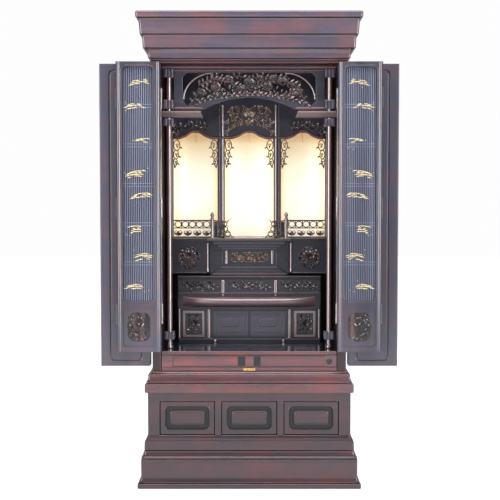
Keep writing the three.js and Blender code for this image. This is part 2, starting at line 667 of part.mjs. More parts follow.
/** The cusped arch over a niche, from one side to the other, as points. */
function cuspedArch(half, spring, apex) {
  const points = [];
  const steps = 10;
  for (let i = 0; i <= steps; i += 1) {
    const u = Math.abs((2 * i) / steps - 1);
    const rise = u > 0.72 ? 0.04 * (1 - u) : 0.5 + 0.5 * Math.cos((u / 0.72) * Math.PI);
    points.push([half * ((2 * i) / steps - 1), spring + (apex - spring) * rise]);
  }
  return points;
}

/** An openwork pendant beside a niche: three loops in a tapering outline, `side` is where its post stands. */
function pendant(x, side, z1) {
  const outline = shapeOf([
    [x, z1 + 3], [x, z1 - 92], [x - side * 9, z1 - 96], [x - side * 15, z1 - 86], [x - side * 12, z1 - 70],
    [x - side * 20, z1 - 56], [x - side * 15, z1 - 42], [x - side * 27, z1 - 18], [x - side * 27, z1 + 3],
  ]);
  for (const [dx, dz, w, h] of [[9, -60, 5, 12], [12, -24, 7.5, 12]]) {
    const [cx, cz] = [x - side * dx, z1 + dz];
    outline.holes.push(pathOf([[cx, cz - h], [cx + w, cz - 1], [cx, cz + h], [cx - w, cz + 1]]));
  }
  return outline;
}

/** A board over a niche with its arch cut out, a raised moulding round the arch and pendants beside it. */
function archedScreen(centre, half, x0, x1, carving) {
  const y = FACE + SCREEN.in;
  const { spring, apex, thick } = SCREEN;
  const line = cuspedArch(half, spring, apex).map(([x, z]) => [x + centre, z]);
  const board = shapeOf([[x1, 1078], [x1, SCREEN.top], [x0, SCREEN.top], [x0, 1078],
    [centre - half, 1078], ...line, [centre + half, 1078]]);
  const crest = line.map(([x, z]) => [x, z + 11]).reverse();
  const band = shapeOf([...line.map(([x, z]) => [x, z + 1]), ...crest]);
  const pendants = [-1, 1].map((side) => (
    prismY(pendant(centre + side * half, side, spring), y + 2, y + thick - 2)));
  return join([prismY(board, y, y + thick), prismY(band, y - 4, y + 3), ...pendants, ...carving]);
}

const arabesque = (cx, z0, width, height, flip) => (t) => {
  const swing = Math.sin(t * 2 * Math.PI);
  return [cx + flip * width * (t - 0.5), z0 + height * (0.5 + 0.4 * swing)];
};

function centreScreen() {
  const y = FACE + SCREEN.in;
  const edge = NICHE.column + 9;
  const carving = [
    flower(0, y, 1186, 24, 6, 4),
    ...[-1, 1].map((s) => tendril(arabesque(s * 46, 1146, 60, 66, s), y, 5, 22, 3.4)),
    tendril((t) => [130 * (t - 0.5), 1138 + 18 * Math.sin(t * Math.PI)], y, 5, 16, 3.2),
  ];
  const posts = [-1, 1].flatMap((s) => [
    block(s * NICHE.half, s * edge, y, y + SCREEN.thick, ON_TABLE, SCREEN.top),
    turned([[0, ON_TABLE + 2], [5, ON_TABLE + 2], [4.2, 774], [4.2, 1196], [5, 1204], [0, 1204]],
      s * NICHE.column, y + 1, 6),
  ]);
  return join([archedScreen(0, NICHE.half, -edge, edge, carving), ...posts]);
}

function sideScreen() {
  const y = FACE + SCREEN.in;
  const [x0, x1] = [NICHE.column + 9 + GAP, POST.inner - GAP];
  const carving = [
    tendril(arabesque(190, 1116, 84, 32, 1), y, 5, 20, 3.2),
    flower(243, y, 1132, 12, 5, 3.4),
  ];
  const posts = [
    block(NICHE.side + NICHE.halfSide, x1, y, y + SCREEN.thick, ON_TABLE, 1100),
    block(x0, NICHE.side - NICHE.halfSide, y, y + SCREEN.thick, ON_TABLE, 1100),
  ];
  return join([archedScreen(NICHE.side, NICHE.halfSide, x0, x1, carving), ...posts]);
}

/** The brocade-covered walls of the three niches: one back and four cheeks. */
function nicheWalls() {
  const [front, back] = [FACE + SCREEN.in + SCREEN.thick + 1, FACE + STAND.back];
  const cheeks = [
    [-POST.inner + GAP, -NICHE.side - NICHE.halfSide - 2], [-NICHE.column - 5, -NICHE.column + 5],
    [NICHE.column - 5, NICHE.column + 5], [NICHE.side + NICHE.halfSide + 2, POST.inner - GAP],
  ];
  const outline = [[POST.inner - GAP, back + 6], [-POST.inner + GAP, back + 6]];
  cheeks.forEach(([x0, x1], i) => {
    if (i > 0) outline.push([x0, back]);
    outline.push([x0, front], [x1, front]);
    if (i + 1 < cheeks.length) outline.push([x1, back]);
  });
  return prismZ(shapeOf(outline), ON_TABLE, 1240);
}

add('screen_centre', centreScreen(), CARVED_WOOD());
addPair('screen', sideScreen(), CARVED_WOOD);
add('niche_walls', nicheWalls(), BROCADE());

// ---- interior: altar table, side stands and railings

/** The altar table: broad top and foot, a waist between stepped mouldings, and a low body behind. */
function altarTable() {
  const waist = 84;
  const front = FACE + STAND.in - 2;
  const steps = [
    [638.4, 124], [645, 124], [645, 117], [654, 114], [654, 104], [663, 101], [663, 92], [673, 88],
    [673, waist], [722, waist], [722, 90], [731, 94], [731, 105], [739, 110], [739, 119], [751, 124],
    [751, 140], [753, 142], [760, 142], [TABLE_TOP, 140],
  ].map(([z, half]) => [z, half - waist]);
  const table = mouldedBlock(steps, { half: waist, front, back: FACE + STAND.in - 0.5, depthScale: 0.4 });
  const body = block(-STAND.inner + 1.5, STAND.inner - 1.5, FACE + STAND.in - 3, FACE + STAND.back, 638.4, TABLE_TOP);
  const hollow = block(-STAND.inner + 10, STAND.inner - 10, FACE + STAND.in + 10, FACE + STAND.back + 1,
    630, TABLE_TOP - 9);
  const posts = [-1, 1].map((s) => turned(
    [[0, 673], [6, 673], [5, 680], [5, 715], [6, 722], [0, 722]], s * 77, front + 1, 6));
  const cartouche = prismY(shapeOf(cutRect(-62, 62, 682, 714, 11)), front - 2, front + 1);
  const scroll = tendril((t) => [100 * (t - 0.5), 698 + 5 * Math.sin(t * 4 * Math.PI)], front - 2, 6, 17, 2.2);
  return join([cut(join([table, body]), [hollow]), ...posts, cartouche, scroll]);
}

/** A side stand: a hollow dais with a round carved medallion and a rounded inner pilaster. */
function sideStand() {
  const y = FACE + STAND.in;
  const [x0, x1] = [STAND.inner, POST.inner - GAP];
  const shell = block(x0, x1, y, FACE + STAND.back, STAND.z0, STAND.z1);
  const hollow = block(x0 + 9, x1 - 9, y + 9, FACE + STAND.back + 1, STAND.z0 - 1, STAND.z1 - 9);
  const [cx, cz] = [201, 697];
  const edge = block(x0 + 11, x1, y - 3, y + 1, STAND.z1 - 5, STAND.z1);
  const foot = block(x0 + 11, x1, y - 3, y + 1, STAND.z0, STAND.z0 + 5);
  const pilaster = turned([[0, 650], [5.5, 650], [3.8, 670], [3.8, 724], [5.5, 744], [0, 744]],
    x0 + 7, y, 6);
  const circle = (radius) => Array.from({ length: 12 }, (_, i) => (
    [cx + radius * Math.cos((i * Math.PI) / 6), cz + radius * Math.sin((i * Math.PI) / 6)]));
  const rim = prismY(ringShape(circle(36), circle(31)), y - 3, y + 1);
  const wreath = tendril((t) => [cx + 21 * Math.sin(t * 1.96 * Math.PI), cz + 21 * Math.cos(t * 1.96 * Math.PI)],
    y, 6, 17, 3.4);
  return join([cut(shell, [hollow]), edge, foot, pilaster, rim, flower(cx, y, cz, 12, 5, 4), wreath]);
}

const RAILING = { in: 241.5, thick: 5, z0: ON_TABLE, post: 124, end: 252 };

/** A carved railing: an openwork run, a turned post with an onion finial, and a short swept return. */
function railing() {
  const { z0: base, thick, post, end } = RAILING;
  const y = FACE + RAILING.in;
  const run = shapeOf([[post + 5, base], [end, base], [end, 823], [post + 5, 823]]);
  const holes = 5;
  const pitch = (end - post - 14) / holes;
  for (let i = 0; i < holes; i += 1) {
    const cx = post + 12 + pitch * (i + 0.5);
    for (const [cz, w, h] of [[782, 8, 8], [806, 9, 7]]) {
      const shift = cz > 800 ? 0 : pitch / 4;
      const points = [[cx - w + shift, cz], [cx + shift, cz - h], [cx + w + shift, cz], [cx + shift, cz + h]];
      if (cx + w + shift < end - 2) {
        run.holes.push(pathOf(points));
      }
    }
  }
  const sweep = new THREE.Shape();
  sweep.moveTo(post - 4, base);
  sweep.lineTo(post - 4, 816);
  sweep.lineTo(78, 815);
  sweep.quadraticCurveTo(66, 817, 59, 826);
  sweep.quadraticCurveTo(64, 808, 78, 806);
  sweep.quadraticCurveTo(60, 796, 74, 785);
  sweep.quadraticCurveTo(56, 778, 50, base);
  for (const [cx, cz, w, h] of [[104, 801, 9, 6], [84, 797, 6, 5], [104, 780, 9, 7], [82, 776, 8, 5]]) {
    sweep.holes.push(pathOf([[cx - w, cz], [cx, cz - h], [cx + w, cz], [cx, cz + h]]));
  }
  const newel = turned([
    [0, base], [6.5, base], [6.5, 828], [4, 831], [7, 839], [4.5, 846], [0, 850],
  ], post, y + thick / 2, 6);
  return join([prismY(run, y, y + thick), prismY(sweep, y, y + thick), newel]);
}

add('altar_table', altarTable(), CARVED_WOOD());
addPair('side_stand', sideStand(), CARVED_WOOD);
addPair('railing', railing(), CARVED_WOOD);

// ---- interior: the stepped unit, the bow-fronted shelf and the lower cabinet

const STEP_UNIT = { z0: 537, z1: 638 };

/** The stepped unit: a top shelf over a row of three carved panels parted by two posts. */
function stepUnit() {
  const y = FACE + STEP.in;
  const { half, back } = STEP;
  const shell = block(-half, half, y + 6, FACE + back, STEP_UNIT.z0, STEP_UNIT.z1);
  const hollow = block(-half + 9, half - 9, y + 16, FACE + back + 1, STEP_UNIT.z0 + 9, STEP_UNIT.z1 - 9);
  const top = block(-half, half, y, y + 7, 626.5, STEP_UNIT.z1);
  const sill = block(-half, half, y + 1, y + 7, 578, 586);
  const posts = [-1, 1].map((s) => block(s * 81, s * 94, y, y + 7, 580, 624));
  const frames = [[-half + 2, -97], [-78, 78], [97, half - 2]].map(([x0, x1]) => {
    const frame = ringShape([[x0, 588], [x1, 588], [x1, 624], [x0, 624]], cutRect(x0 + 5, x1 - 5, 592, 620, 6));
    return prismY(frame, y + 2, y + 7);
  });
  const vines = [-166, 0, 166].map((cx) => (
    tendril((t) => [cx + 112 * (t - 0.5), 606 + 5 * Math.sin(t * 4 * Math.PI)], y + 6, 5, 20, 3)));
  return join([cut(shell, [hollow]), top, sill, ...posts, ...frames, ...vines]);
}

/** A half-round shelf edge whose bow dies away to both ends, with a narrow finger slit. */
function bowShelf() {
  const y = FACE + STEP.in + 6 - GAP;
  const [half, z0, z1] = [218, 538.5, 571];
  const [mid, tall] = [(z0 + z1) / 2, (z1 - z0) / 2];
  const sections = 12;
  const around = 6;
  const rings = [];
  for (let i = 0; i <= sections; i += 1) {
    const x = -half * Math.cos((i / sections) * Math.PI);
    const bulge = 24 * (1 - (x / half) ** 4) + 2;
    const ring = [];
    for (let k = 0; k <= around; k += 1) {
      const turn = (k / around) * Math.PI;
      ring.push([x, y - bulge * Math.sin(turn), mid + tall * Math.cos(turn)]);
    }
    rings.push(ring);
  }
  return cut(loft(rings), [block(-106, 106, y - 40, y - 22, mid - 0.8, mid + 0.8)]);
}

function lowerCabinet() {
  const y = FACE + STEP.in;
  const { half, back } = STEP;
  const [z0, z1] = [430, 536.6];
  const shell = block(-half, half, y + 4, FACE + back, z0, z1);
  const base = block(-half + 3, half - 3, y + 7, FACE + back - 5, FLOOR + GAP, z0 + 1);
  const hollow = block(-half + 9, half - 9, y + 16, FACE + back + 1, z0 + 8, z1 - 8);
  const ledge = block(-half, half, y + 1, y + 5, 424, 430.5);
  const head = block(-half, half, y + 1, y + 5, 529, z1);
  const wells = [-1, 1].map((s) => (
    block(s * (SMALL_DRAWER.x0 - GAP), s * (SMALL_DRAWER.x1 + GAP), y - 1, y + 20, SMALL_DRAWER.z0 - GAP, SMALL_DRAWER.z1 + GAP)));
  const bars = [-1, 1].flatMap((s) => [
    block(s * 228, s * 234, y + 1, y + 5, 430, 530),
    block(s * 129, s * 139, y, y + 5, 430, 530),
  ]);
  const doors = [-1, 1].flatMap((s) => {
    const [x0, x1] = [Math.min(s * 149, s * 219), Math.max(s * 149, s * 219)];
    const frame = ringShape([[x0, 436], [x1, 436], [x1, 522.5], [x0, 522.5]],
      [[x0 + 7, 447], [x1 - 7, 447], [x1 - 7, 513], [x0 + 7, 513]]);
    return [prismY(frame, y, y + 5), flower(s * 184, y + 4, 480, 17, 5, 3.4)];
  });
  const feet = [-1, 1].map((s) => turned(
    [[0, FLOOR + GAP], [3.5, FLOOR + GAP], [5.5, 424], [3.5, 429], [0, 429]], s * 113, y - 1, 6));
  const footBlocks = [-1, 1].map((s) => block(s * 113 - 3, s * 113 + 3, y - 1, y + 8, 421, 428));
  return join([
    cut(join([cut(shell, [hollow]), base]), wells), ledge, head, ...bars, ...doors, ...feet, ...footBlocks,
  ]);
}

/** A small drawer with a frame line and a long raised field on its front. */
function smallDrawer() {
  const { x0, x1, z0, z1, deep } = SMALL_DRAWER;
  const y = FACE + STEP.in;
  const front = block(x0, x1, y, y + 12, z0, z1);
  const ring = ringShape([[x0 + 8, z0 + 8], [x1 - 8, z0 + 8], [x1 - 8, z1 - 8], [x0 + 8, z1 - 8]],
    cutRect(x0 + 31, x1 - 29, 472, 499, 2));
  const sunk = prismY(ring, y - 1, y + 2.5);
  const box = drawerBox(x0 + 2, x1 - 2, y + 11, y + deep, z0 + 2, z1 - 4, 6);
  return cut(join([front, box]), [sunk]);
}

add('step_unit', stepUnit(), CARVED_WOOD());
add('bow_shelf', bowShelf(), ROSEWOOD());
add('lower_cabinet', lowerCabinet(), CARVED_WOOD());
addPair('small_drawer', smallDrawer(), CARVED_WOOD);

export default cabinet;
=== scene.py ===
"""Looks of a floor-standing household altar cabinet in rosewood.

Folding outer doors and lattice doors stand open on a carved shrine of three lit niches. +Z is up and the
front faces -Y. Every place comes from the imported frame, and sizes are in millimetres up to the hand tools.
"""

from __future__ import annotations

import json
import logging
import math
import random
from dataclasses import dataclass
from enum import Enum
from typing import Callable, Iterable, Sequence

import bmesh
import bpy
from mathutils import Matrix, Vector

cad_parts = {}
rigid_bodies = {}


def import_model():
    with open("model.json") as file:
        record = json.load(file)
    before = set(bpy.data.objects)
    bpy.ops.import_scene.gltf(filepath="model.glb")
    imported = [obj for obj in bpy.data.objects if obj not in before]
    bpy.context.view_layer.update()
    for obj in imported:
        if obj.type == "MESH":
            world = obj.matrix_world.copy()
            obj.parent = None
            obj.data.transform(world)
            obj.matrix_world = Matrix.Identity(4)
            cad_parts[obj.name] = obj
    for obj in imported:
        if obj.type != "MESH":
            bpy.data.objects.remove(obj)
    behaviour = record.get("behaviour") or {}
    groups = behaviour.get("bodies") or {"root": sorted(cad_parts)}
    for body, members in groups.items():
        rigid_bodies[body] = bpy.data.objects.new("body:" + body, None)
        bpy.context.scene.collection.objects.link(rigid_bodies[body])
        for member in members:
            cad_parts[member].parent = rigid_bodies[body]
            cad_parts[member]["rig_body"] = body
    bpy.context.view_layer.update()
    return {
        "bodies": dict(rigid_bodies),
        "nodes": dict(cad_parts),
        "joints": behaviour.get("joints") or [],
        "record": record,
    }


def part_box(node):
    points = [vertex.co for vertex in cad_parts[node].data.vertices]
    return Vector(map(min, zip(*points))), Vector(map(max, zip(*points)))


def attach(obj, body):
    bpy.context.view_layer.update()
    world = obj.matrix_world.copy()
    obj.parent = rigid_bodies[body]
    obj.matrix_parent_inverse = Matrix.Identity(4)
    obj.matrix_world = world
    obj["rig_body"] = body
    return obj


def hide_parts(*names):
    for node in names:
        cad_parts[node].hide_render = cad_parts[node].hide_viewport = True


LOG = logging.getLogger("altar_cabinet")
MM = 0.001
FULL_TURN = 2.0 * math.pi
WHITE, BLACK = (1.0, 1.0, 1.0), (0.0, 0.0, 0.0)
Piece = bpy.types.Object
Socket = bpy.types.NodeSocket
Pair = tuple[float, float]
Point = tuple[float, float, float]
Rgb = tuple[float, float, float]
Path = Callable[[float], Pair]
Rise = tuple[Point, Point, Point]


# ------------------------------------------------------------------ finishes


class Grain(Enum):
    """The axis a board's grain runs along; WRAP follows the width in front and the depth at the sides."""

    X = 0
    Y = 1
    Z = 2
    WRAP = 3


class Nodes:
    """A short hand for laying out one material's node tree."""

    def __init__(self, name: str) -> None:
        """Starts a material with a Principled shader.

        Args:
            name: The material's name.
        """
        self.material = bpy.data.materials.new(name)
        self.material.use_nodes = True
        self.tree = self.material.node_tree
        self.shader = self.tree.nodes["Principled BSDF"]

    def feed(self, target: Socket, value: Socket | Rgb | float) -> None:
        """Links an output to an input, or sets the input.

        Args:
            target: The input.
            value: An output, a colour or a number.
        """
        if isinstance(value, Socket):
            self.tree.links.new(value, target)
        elif target.type == "RGBA":
            target.default_value = (*value, 1.0)
        else:
            target.default_value = value

    def add(self, kind: str, **settings: object) -> bpy.types.Node:
        """Adds a node, and sets its properties or feeds its inputs.

        Args:
            kind: The node's type, without its ShaderNode prefix.
            **settings: Values by property name, or by input name with underscores for spaces.

        Returns:
            The new node.
        """
        node = self.tree.nodes.new("ShaderNode" + kind)
        for key, value in settings.items():
            if hasattr(node, key):
                setattr(node, key, value)
            else:
                self.feed(node.inputs[key.replace("_", " ")], value)
        return node

    def tune(self, **inputs: Socket | Rgb | float) -> None:
        """Feeds the shader's inputs, named with underscores for spaces."""
        for key, value in inputs.items():
            self.feed(self.shader.inputs[key.replace("_", " ")], value)

    def coords(self, scale: Point = (1.0, 1.0, 1.0)) -> Socket:
        """Object coordinates, scaled along each axis."""
        source = self.add("TexCoord").outputs["Object"]
        return self.add("Mapping", Vector=source, Scale=scale).outputs["Vector"]

    def noise(self, vector: Socket, scale: float, detail: float = 4.0, distortion: float = 0.0,
              roughness: float = 0.55) -> Socket:
        """A noise value, by its frequency, octaves, warp and the strength of its fine octaves."""
        return self.add("TexNoise", Vector=vector, Scale=scale, Detail=detail, Distortion=distortion,
                        Roughness=roughness).outputs["Fac"]

    def ramp(self, value: Socket, *stops: tuple[float, Rgb]) -> Socket:
        """A colour ramp.

        Args:
            value: The value that it reads.
            *stops: The place and colour of each stop.

        Returns:
            The colour output.
        """
        node = self.add("ValToRGB", Fac=value)
        elements = node.color_ramp.elements
        while len(elements) < len(stops):
            elements.new(0.5)
        for element, (place, colour) in zip(elements, stops):
            element.position = place
            element.color = (*colour, 1.0)
        return node.outputs["Color"]

    def mix(self, kind: str, factor: Socket | float, a: Socket | Rgb, b: Socket | Rgb) -> Socket:
        """Mixes two colours.

        Args:
            kind: The blend type.
            factor: How much of the second colour.
            a: The first colour.
            b: The second colour.

        Returns:
            The mixed colour output.
        """
        node = self.add("Mix", data_type="RGBA", blend_type=kind)
        inputs = {socket.identifier: socket for socket in node.inputs}
        for key, value in (("Factor_Float", factor), ("A_Color", a), ("B_Color", b)):
            self.feed(inputs[key], value)
        return {socket.identifier: socket for socket in node.outputs}["Result_Color"]

    def maths(self, operation: str, a: Socket | float, b: Socket | float = 0.0) -> Socket:
        """A sum on one or two values.

        Args:
            operation: The operation's name.
            a: The first value.
            b: The second value.

        Returns:
            The result output.
        """
        node = self.add("Math", operation=operation)
        for socket, value in zip(node.inputs, (a, b)):
            self.feed(socket, value)
        return node.outputs["Value"]

    def scaled(self, value: Socket, factor: float, start: float) -> Socket:
        """A value times a factor, on top of a start."""
        return self.maths("ADD", self.maths("MULTIPLY", value, factor), start)

    def wave(self, value: Socket, length: float) -> Socket:
        """A sine of a value, by its wave's length."""
        return self.maths("SINE", self.maths("MULTIPLY", value, FULL_TURN / length))

    def bump(self, height: Socket, strength: float, distance: float) -> None:
        """Bumps the shader's normal by a height, to a strength and a distance in metres."""
        bump = self.add("Bump", Height=height, Strength=strength, Distance=distance)
        self.tune(Normal=bump.outputs["Normal"])


@dataclass(frozen=True)
class Wood:
    """A lacquered wood with fine grain, pores and darker streaks."""

    name: str
    dark: Rgb
    mid: Rgb
    light: Rgb
    roughness: float = 0.3
    coat: float = 0.9
    streaks: float = 9.0
    pores: float = 210.0
    mottle: float = 0.0
    gloss: float = 0.16
    polish: float = 1.6
    ripple: float = 0.12
    drawn_out: float = 0.055
    side_facing: float = 0.72

    def along(self, nodes: Nodes, grain: Grain) -> Socket:
        """Coordinates drawn out along the grain.

        Args:
            nodes: The material's nodes.
            grain: The grain's direction.

        Returns:
            The vector output.
        """
        scales = [tuple(self.drawn_out if i == axis else 1.0 for i in range(3)) for axis in range(3)]
        if grain is not Grain.WRAP:
            return nodes.coords(scales[grain.value])
        front, side = (nodes.coords(scale) for scale in scales[:2])
        facing = nodes.add("SeparateXYZ", Vector=nodes.add("NewGeometry").outputs["Normal"])
        sideways = nodes.maths("GREATER_THAN", nodes.maths("ABSOLUTE", facing.outputs["X"]), self.side_facing)
        return nodes.mix("MIX", sideways, front, side)

    def make(self, grain: Grain) -> bpy.types.Material:
        """Builds the material with its grain along one axis.

        Args:
            grain: The grain's direction.

        Returns:
            The material.
        """
        nodes = Nodes(f"{self.name}_{grain.name.lower()}")
        vector = self.along(nodes, grain)
        broad = nodes.noise(vector, self.streaks, 6.0, 1.2)
        fine = nodes.noise(vector, self.pores, 3.0, 0.4, 0.7)
        figure = nodes.maths("ADD", nodes.maths("MULTIPLY", broad, 0.8), nodes.maths("MULTIPLY", fine, 0.2))
        colour = nodes.ramp(figure, (0.3, self.dark), (0.5, self.mid), (0.7, self.light))
        if self.mottle:
            patches = nodes.noise(nodes.coords((1.0, 1.0, 1.6)), 9.0)
            redder = nodes.ramp(patches, (0.42, (0.92, 0.98, 1.06)), (0.62, (1.0 + self.mottle, 1.0, 0.9)))
            colour = nodes.mix("MULTIPLY", 1.0, colour, redder)
        nodes.tune(Base_Color=colour, Roughness=nodes.scaled(broad, 0.16, self.roughness - 0.08),
                   Coat_Weight=self.coat, Coat_Roughness=self.gloss, Coat_IOR=self.polish)
        nodes.bump(fine, self.ripple, 0.0003)
        return nodes.material


@dataclass(frozen=True)
class Metal:
    """A plated or brass metal, a little worn."""

    name: str
    colour: Rgb
    worn: Rgb
    roughness: float

    def make(self) -> bpy.types.Material:
        """Builds the material.

        Returns:
            The material.
        """
        nodes = Nodes(self.name)
        wear = nodes.noise(nodes.coords(), 160.0, 5.0)
        nodes.tune(Base_Color=nodes.ramp(wear, (0.35, self.worn), (0.6, self.colour)), Metallic=1.0,
                   Roughness=nodes.scaled(wear, 0.25, self.roughness))
        nodes.bump(wear, 0.1, 0.0002)
        return nodes.material


@dataclass(frozen=True)
class Brocade:
    """Cream brocade with a faint woven gold dot, with painted shade up in the arches and at the sides, and a
    painted glow inside the niches.
    """

    name: str
    ground: Rgb
    figure: Rgb
    repeat: float = 0.017
    thread: float = 0.0011
    glow: float = 0.31
    reach: float = 0.2552

    def shading(self, nodes: Nodes, x: Socket, z: Socket) -> Socket:
        """The painted shade, tan, at the niches' tops and sides.

        Args:
            nodes: The material's nodes.
            x: The place across the cabinet.
            z: The height.

        Returns:
            The shade's colour output.
        """
        high = nodes.maths("MULTIPLY", nodes.maths("SUBTRACT", z, 1.0), 9.0)
        above = nodes.ramp(high, (0.2, WHITE), (0.75, (1.0, 0.93, 0.80)), (1.0, (0.84, 0.66, 0.44)))
        sideways = nodes.maths("MULTIPLY", nodes.maths("ABSOLUTE", x), 3.8)
        beside = nodes.ramp(sideways, (0.23, WHITE), (0.30, (0.97, 0.88, 0.72)), (0.40, (0.90, 0.72, 0.50)),
                            (0.50, WHITE), (0.87, WHITE), (0.96, (0.96, 0.86, 0.68)))
        return nodes.mix("MULTIPLY", 1.0, above, beside)

    def make(self) -> bpy.types.Material:
        """Builds the material.

        Returns:
            The material.
        """
        nodes = Nodes(self.name)
        vector = nodes.coords()
        x, y, z = nodes.add("SeparateXYZ", Vector=vector).outputs
        across = nodes.maths("ADD", x, y)
        cells = nodes.maths("MULTIPLY", nodes.wave(across, self.repeat), nodes.wave(z, self.repeat))
        dots = nodes.maths("GREATER_THAN", cells, 0.62)
        woven = nodes.mix("MIX", nodes.maths("MULTIPLY", dots, 0.45), self.ground, self.figure)
        stain = nodes.ramp(nodes.noise(vector, 9.0), (0.3, (0.93, 0.9, 0.83)), (0.7, WHITE))
        cloth = nodes.mix("MULTIPLY", 1.0, nodes.mix("MULTIPLY", 1.0, woven, stain),
                          self.shading(nodes, x, z))
        # Painted glow: inside the niches the cloth gives off its own colour as light, painted shade included,
        # though it is no lamp.
        inside = nodes.maths("LESS_THAN", nodes.maths("ABSOLUTE", x), self.reach)
        nodes.tune(Base_Color=cloth, Emission_Color=nodes.mix("MIX", inside, BLACK, cloth),
                   Emission_Strength=self.glow, Roughness=0.75, Sheen_Weight=0.25)
        threads = nodes.maths("MULTIPLY", nodes.wave(across, self.thread), nodes.wave(z, self.thread))
        nodes.bump(nodes.maths("ADD", threads, nodes.maths("MULTIPLY", dots, 1.5)), 0.25, 0.0003)
        return nodes.material


@dataclass(frozen=True)
class Gauze:
    """Thin silk behind a lattice."""

    name: str
    colour: Rgb

    def make(self) -> bpy.types.Material:
        """Builds the material.

        Returns:
            The material.
        """
        nodes = Nodes(self.name)
        thread = nodes.noise(nodes.coords((1.0, 1.0, 0.08)), 900.0, 2.0)
        dark = tuple(c * 0.7 for c in self.colour)
        nodes.tune(Base_Color=nodes.ramp(thread, (0.35, dark), (0.65, self.colour)), Roughness=0.55,
                   Sheen_Weight=0.5)
        nodes.bump(thread, 0.2, 0.0002)
        return nodes.material


@dataclass(frozen=True)
class Gilt:
    """Carved wood carrying rubbed gold in noise patches."""

    name: str
    wood: Rgb
    gold: Rgb
    share: float

    def make(self) -> bpy.types.Material:
        """Builds the material.

        Returns:
            The material.
        """
        nodes = Nodes(self.name)
        rubbed = nodes.noise(nodes.coords(), 95.0, 4.0, 0.3)
        bare = 1.0 - self.share
        laid = nodes.ramp(rubbed, (max(bare - 0.22, 0.0), BLACK), (min(bare + 0.12, 1.0), WHITE))
        nodes.tune(Base_Color=nodes.mix("MIX", laid, self.wood, self.gold),
                   Metallic=nodes.maths("MULTIPLY", laid, 0.75), Roughness=nodes.scaled(rubbed, 0.2, 0.24))
        nodes.bump(rubbed, 0.15, 0.0003)
        return nodes.material


Finish = Wood | Metal | Brocade | Gauze | Gilt
BASE_WOOD = Wood("base_rosewood", (0.010, 0.003, 0.006), (0.028, 0.011, 0.017), (0.054, 0.023, 0.032),
                 mottle=0.6)
# Partly the rosewood and partly a painted reflection: the cornice's light grey-mauve stands for the pale
# studio mirrored in its lacquer.
CORNICE_REFLECTED_WOOD = Wood("cornice_rosewood", (0.028, 0.019, 0.026), (0.069, 0.052, 0.070), (0.112, 0.087, 0.111),
                    mottle=0.6)
BODY_WOOD = Wood("body_rosewood", (0.010, 0.005, 0.007), (0.026, 0.014, 0.017), (0.046, 0.026, 0.030),
                 coat=0.15)
# Partly the wood and partly a painted reflection: the doors' light grey-purple stands for glancing light
# mirrored in their lacquer.
DOOR_REFLECTED_WOOD = Wood("door_wood", (0.019, 0.014, 0.025), (0.038, 0.034, 0.053), (0.065, 0.055, 0.085),
                 mottle=0.35)
SILL_WOOD = Wood("sill_rosewood", (0.038, 0.013, 0.015), (0.101, 0.039, 0.045), (0.158, 0.068, 0.070),
                 mottle=0.5)
SHELF_WOOD = Wood("shelf_rosewood", (0.056, 0.020, 0.027), (0.098, 0.043, 0.052), (0.140, 0.068, 0.080),
                  coat=1.0, gloss=0.34, polish=2.0, ripple=0.03)
BEAM_WOOD = Wood("beam_rosewood", (0.022, 0.011, 0.014), (0.058, 0.033, 0.037), (0.100, 0.060, 0.064),
                 roughness=0.4, coat=0.4, gloss=0.34, ripple=0.04)
DARK_WOOD = Wood("dark_board", (0.003, 0.004, 0.006), (0.007, 0.008, 0.011), (0.013, 0.012, 0.016),
                 roughness=0.55, coat=0.15)
LATTICE_WOOD = Wood("lattice_wood", (0.131, 0.134, 0.196), (0.204, 0.216, 0.306), (0.294, 0.308, 0.421),
                    roughness=0.35)
FRAME_WOOD = Wood("frame_wood", (0.011, 0.010, 0.017), (0.023, 0.021, 0.034), (0.041, 0.036, 0.055))
TABLE_WOOD = Wood("table_wood", (0.007, 0.008, 0.013), (0.016, 0.016, 0.025), (0.033, 0.026, 0.036),
                  coat=0.5, gloss=0.22, ripple=0.04)
# The dark tones are the wood; the bright pinkish light tone, spotted fine by the streak noise, is a painted
# highlight for the carving's glints.
CARVED_WOOD_WITH_GLINTS = Wood("carved_rosewood", (0.004, 0.002, 0.003), (0.012, 0.006, 0.007), (0.120, 0.055, 0.055),
                   roughness=0.26, coat=0.8, streaks=38.0, gloss=0.12, polish=1.5)
BRACKET_WOOD = Wood("bracket_wood", (0.016, 0.010, 0.011), (0.048, 0.034, 0.036), (0.120, 0.086, 0.082),
                    roughness=0.28, coat=0.8, streaks=26.0)
LACQUER = Wood("red_lacquer", (0.040, 0.008, 0.010), (0.080, 0.018, 0.022), (0.130, 0.040, 0.042),
               roughness=0.25, coat=1.0, gloss=0.3, polish=2.8, ripple=0.02)
FLOOR_LACQUER = Wood("floor_lacquer", (0.006, 0.013, 0.020), (0.012, 0.025, 0.037), (0.020, 0.038, 0.052),
                     roughness=0.12, coat=1.0)
GILT_WOOD = Gilt("gilt_touched_wood", (0.022, 0.010, 0.009), (0.62, 0.44, 0.30), 0.40)
# The cartouche's pale metallic patches are partly rubbed gilding and partly painted glints on the carving.
CARTOUCHE_GILT_AND_GLINTS = Gilt("cartouche_gilt_and_glints", (0.030, 0.012, 0.010), (0.46, 0.30, 0.22), 0.34)
GILDING = Gilt("cloud_gilding", (0.62, 0.36, 0.10), (1.0, 0.84, 0.46), 0.9)
GAUZE = Gauze("lattice_gauze", (0.060, 0.064, 0.082))
PALE_METAL = Metal("plated_metal", (0.70, 0.68, 0.66), (0.42, 0.36, 0.34), 0.2)
LOCK_METAL = Metal("lock_metal", (0.10, 0.10, 0.11), (0.05, 0.05, 0.055), 0.2)
BRASS = Metal("brass", (0.86, 0.58, 0.22), (0.50, 0.30, 0.12), 0.22)
NICHE_CLOTH = Brocade("cream_brocade", (0.90, 0.89, 0.83), (0.86, 0.72, 0.46))


# ------------------------------------------------------------------ studio


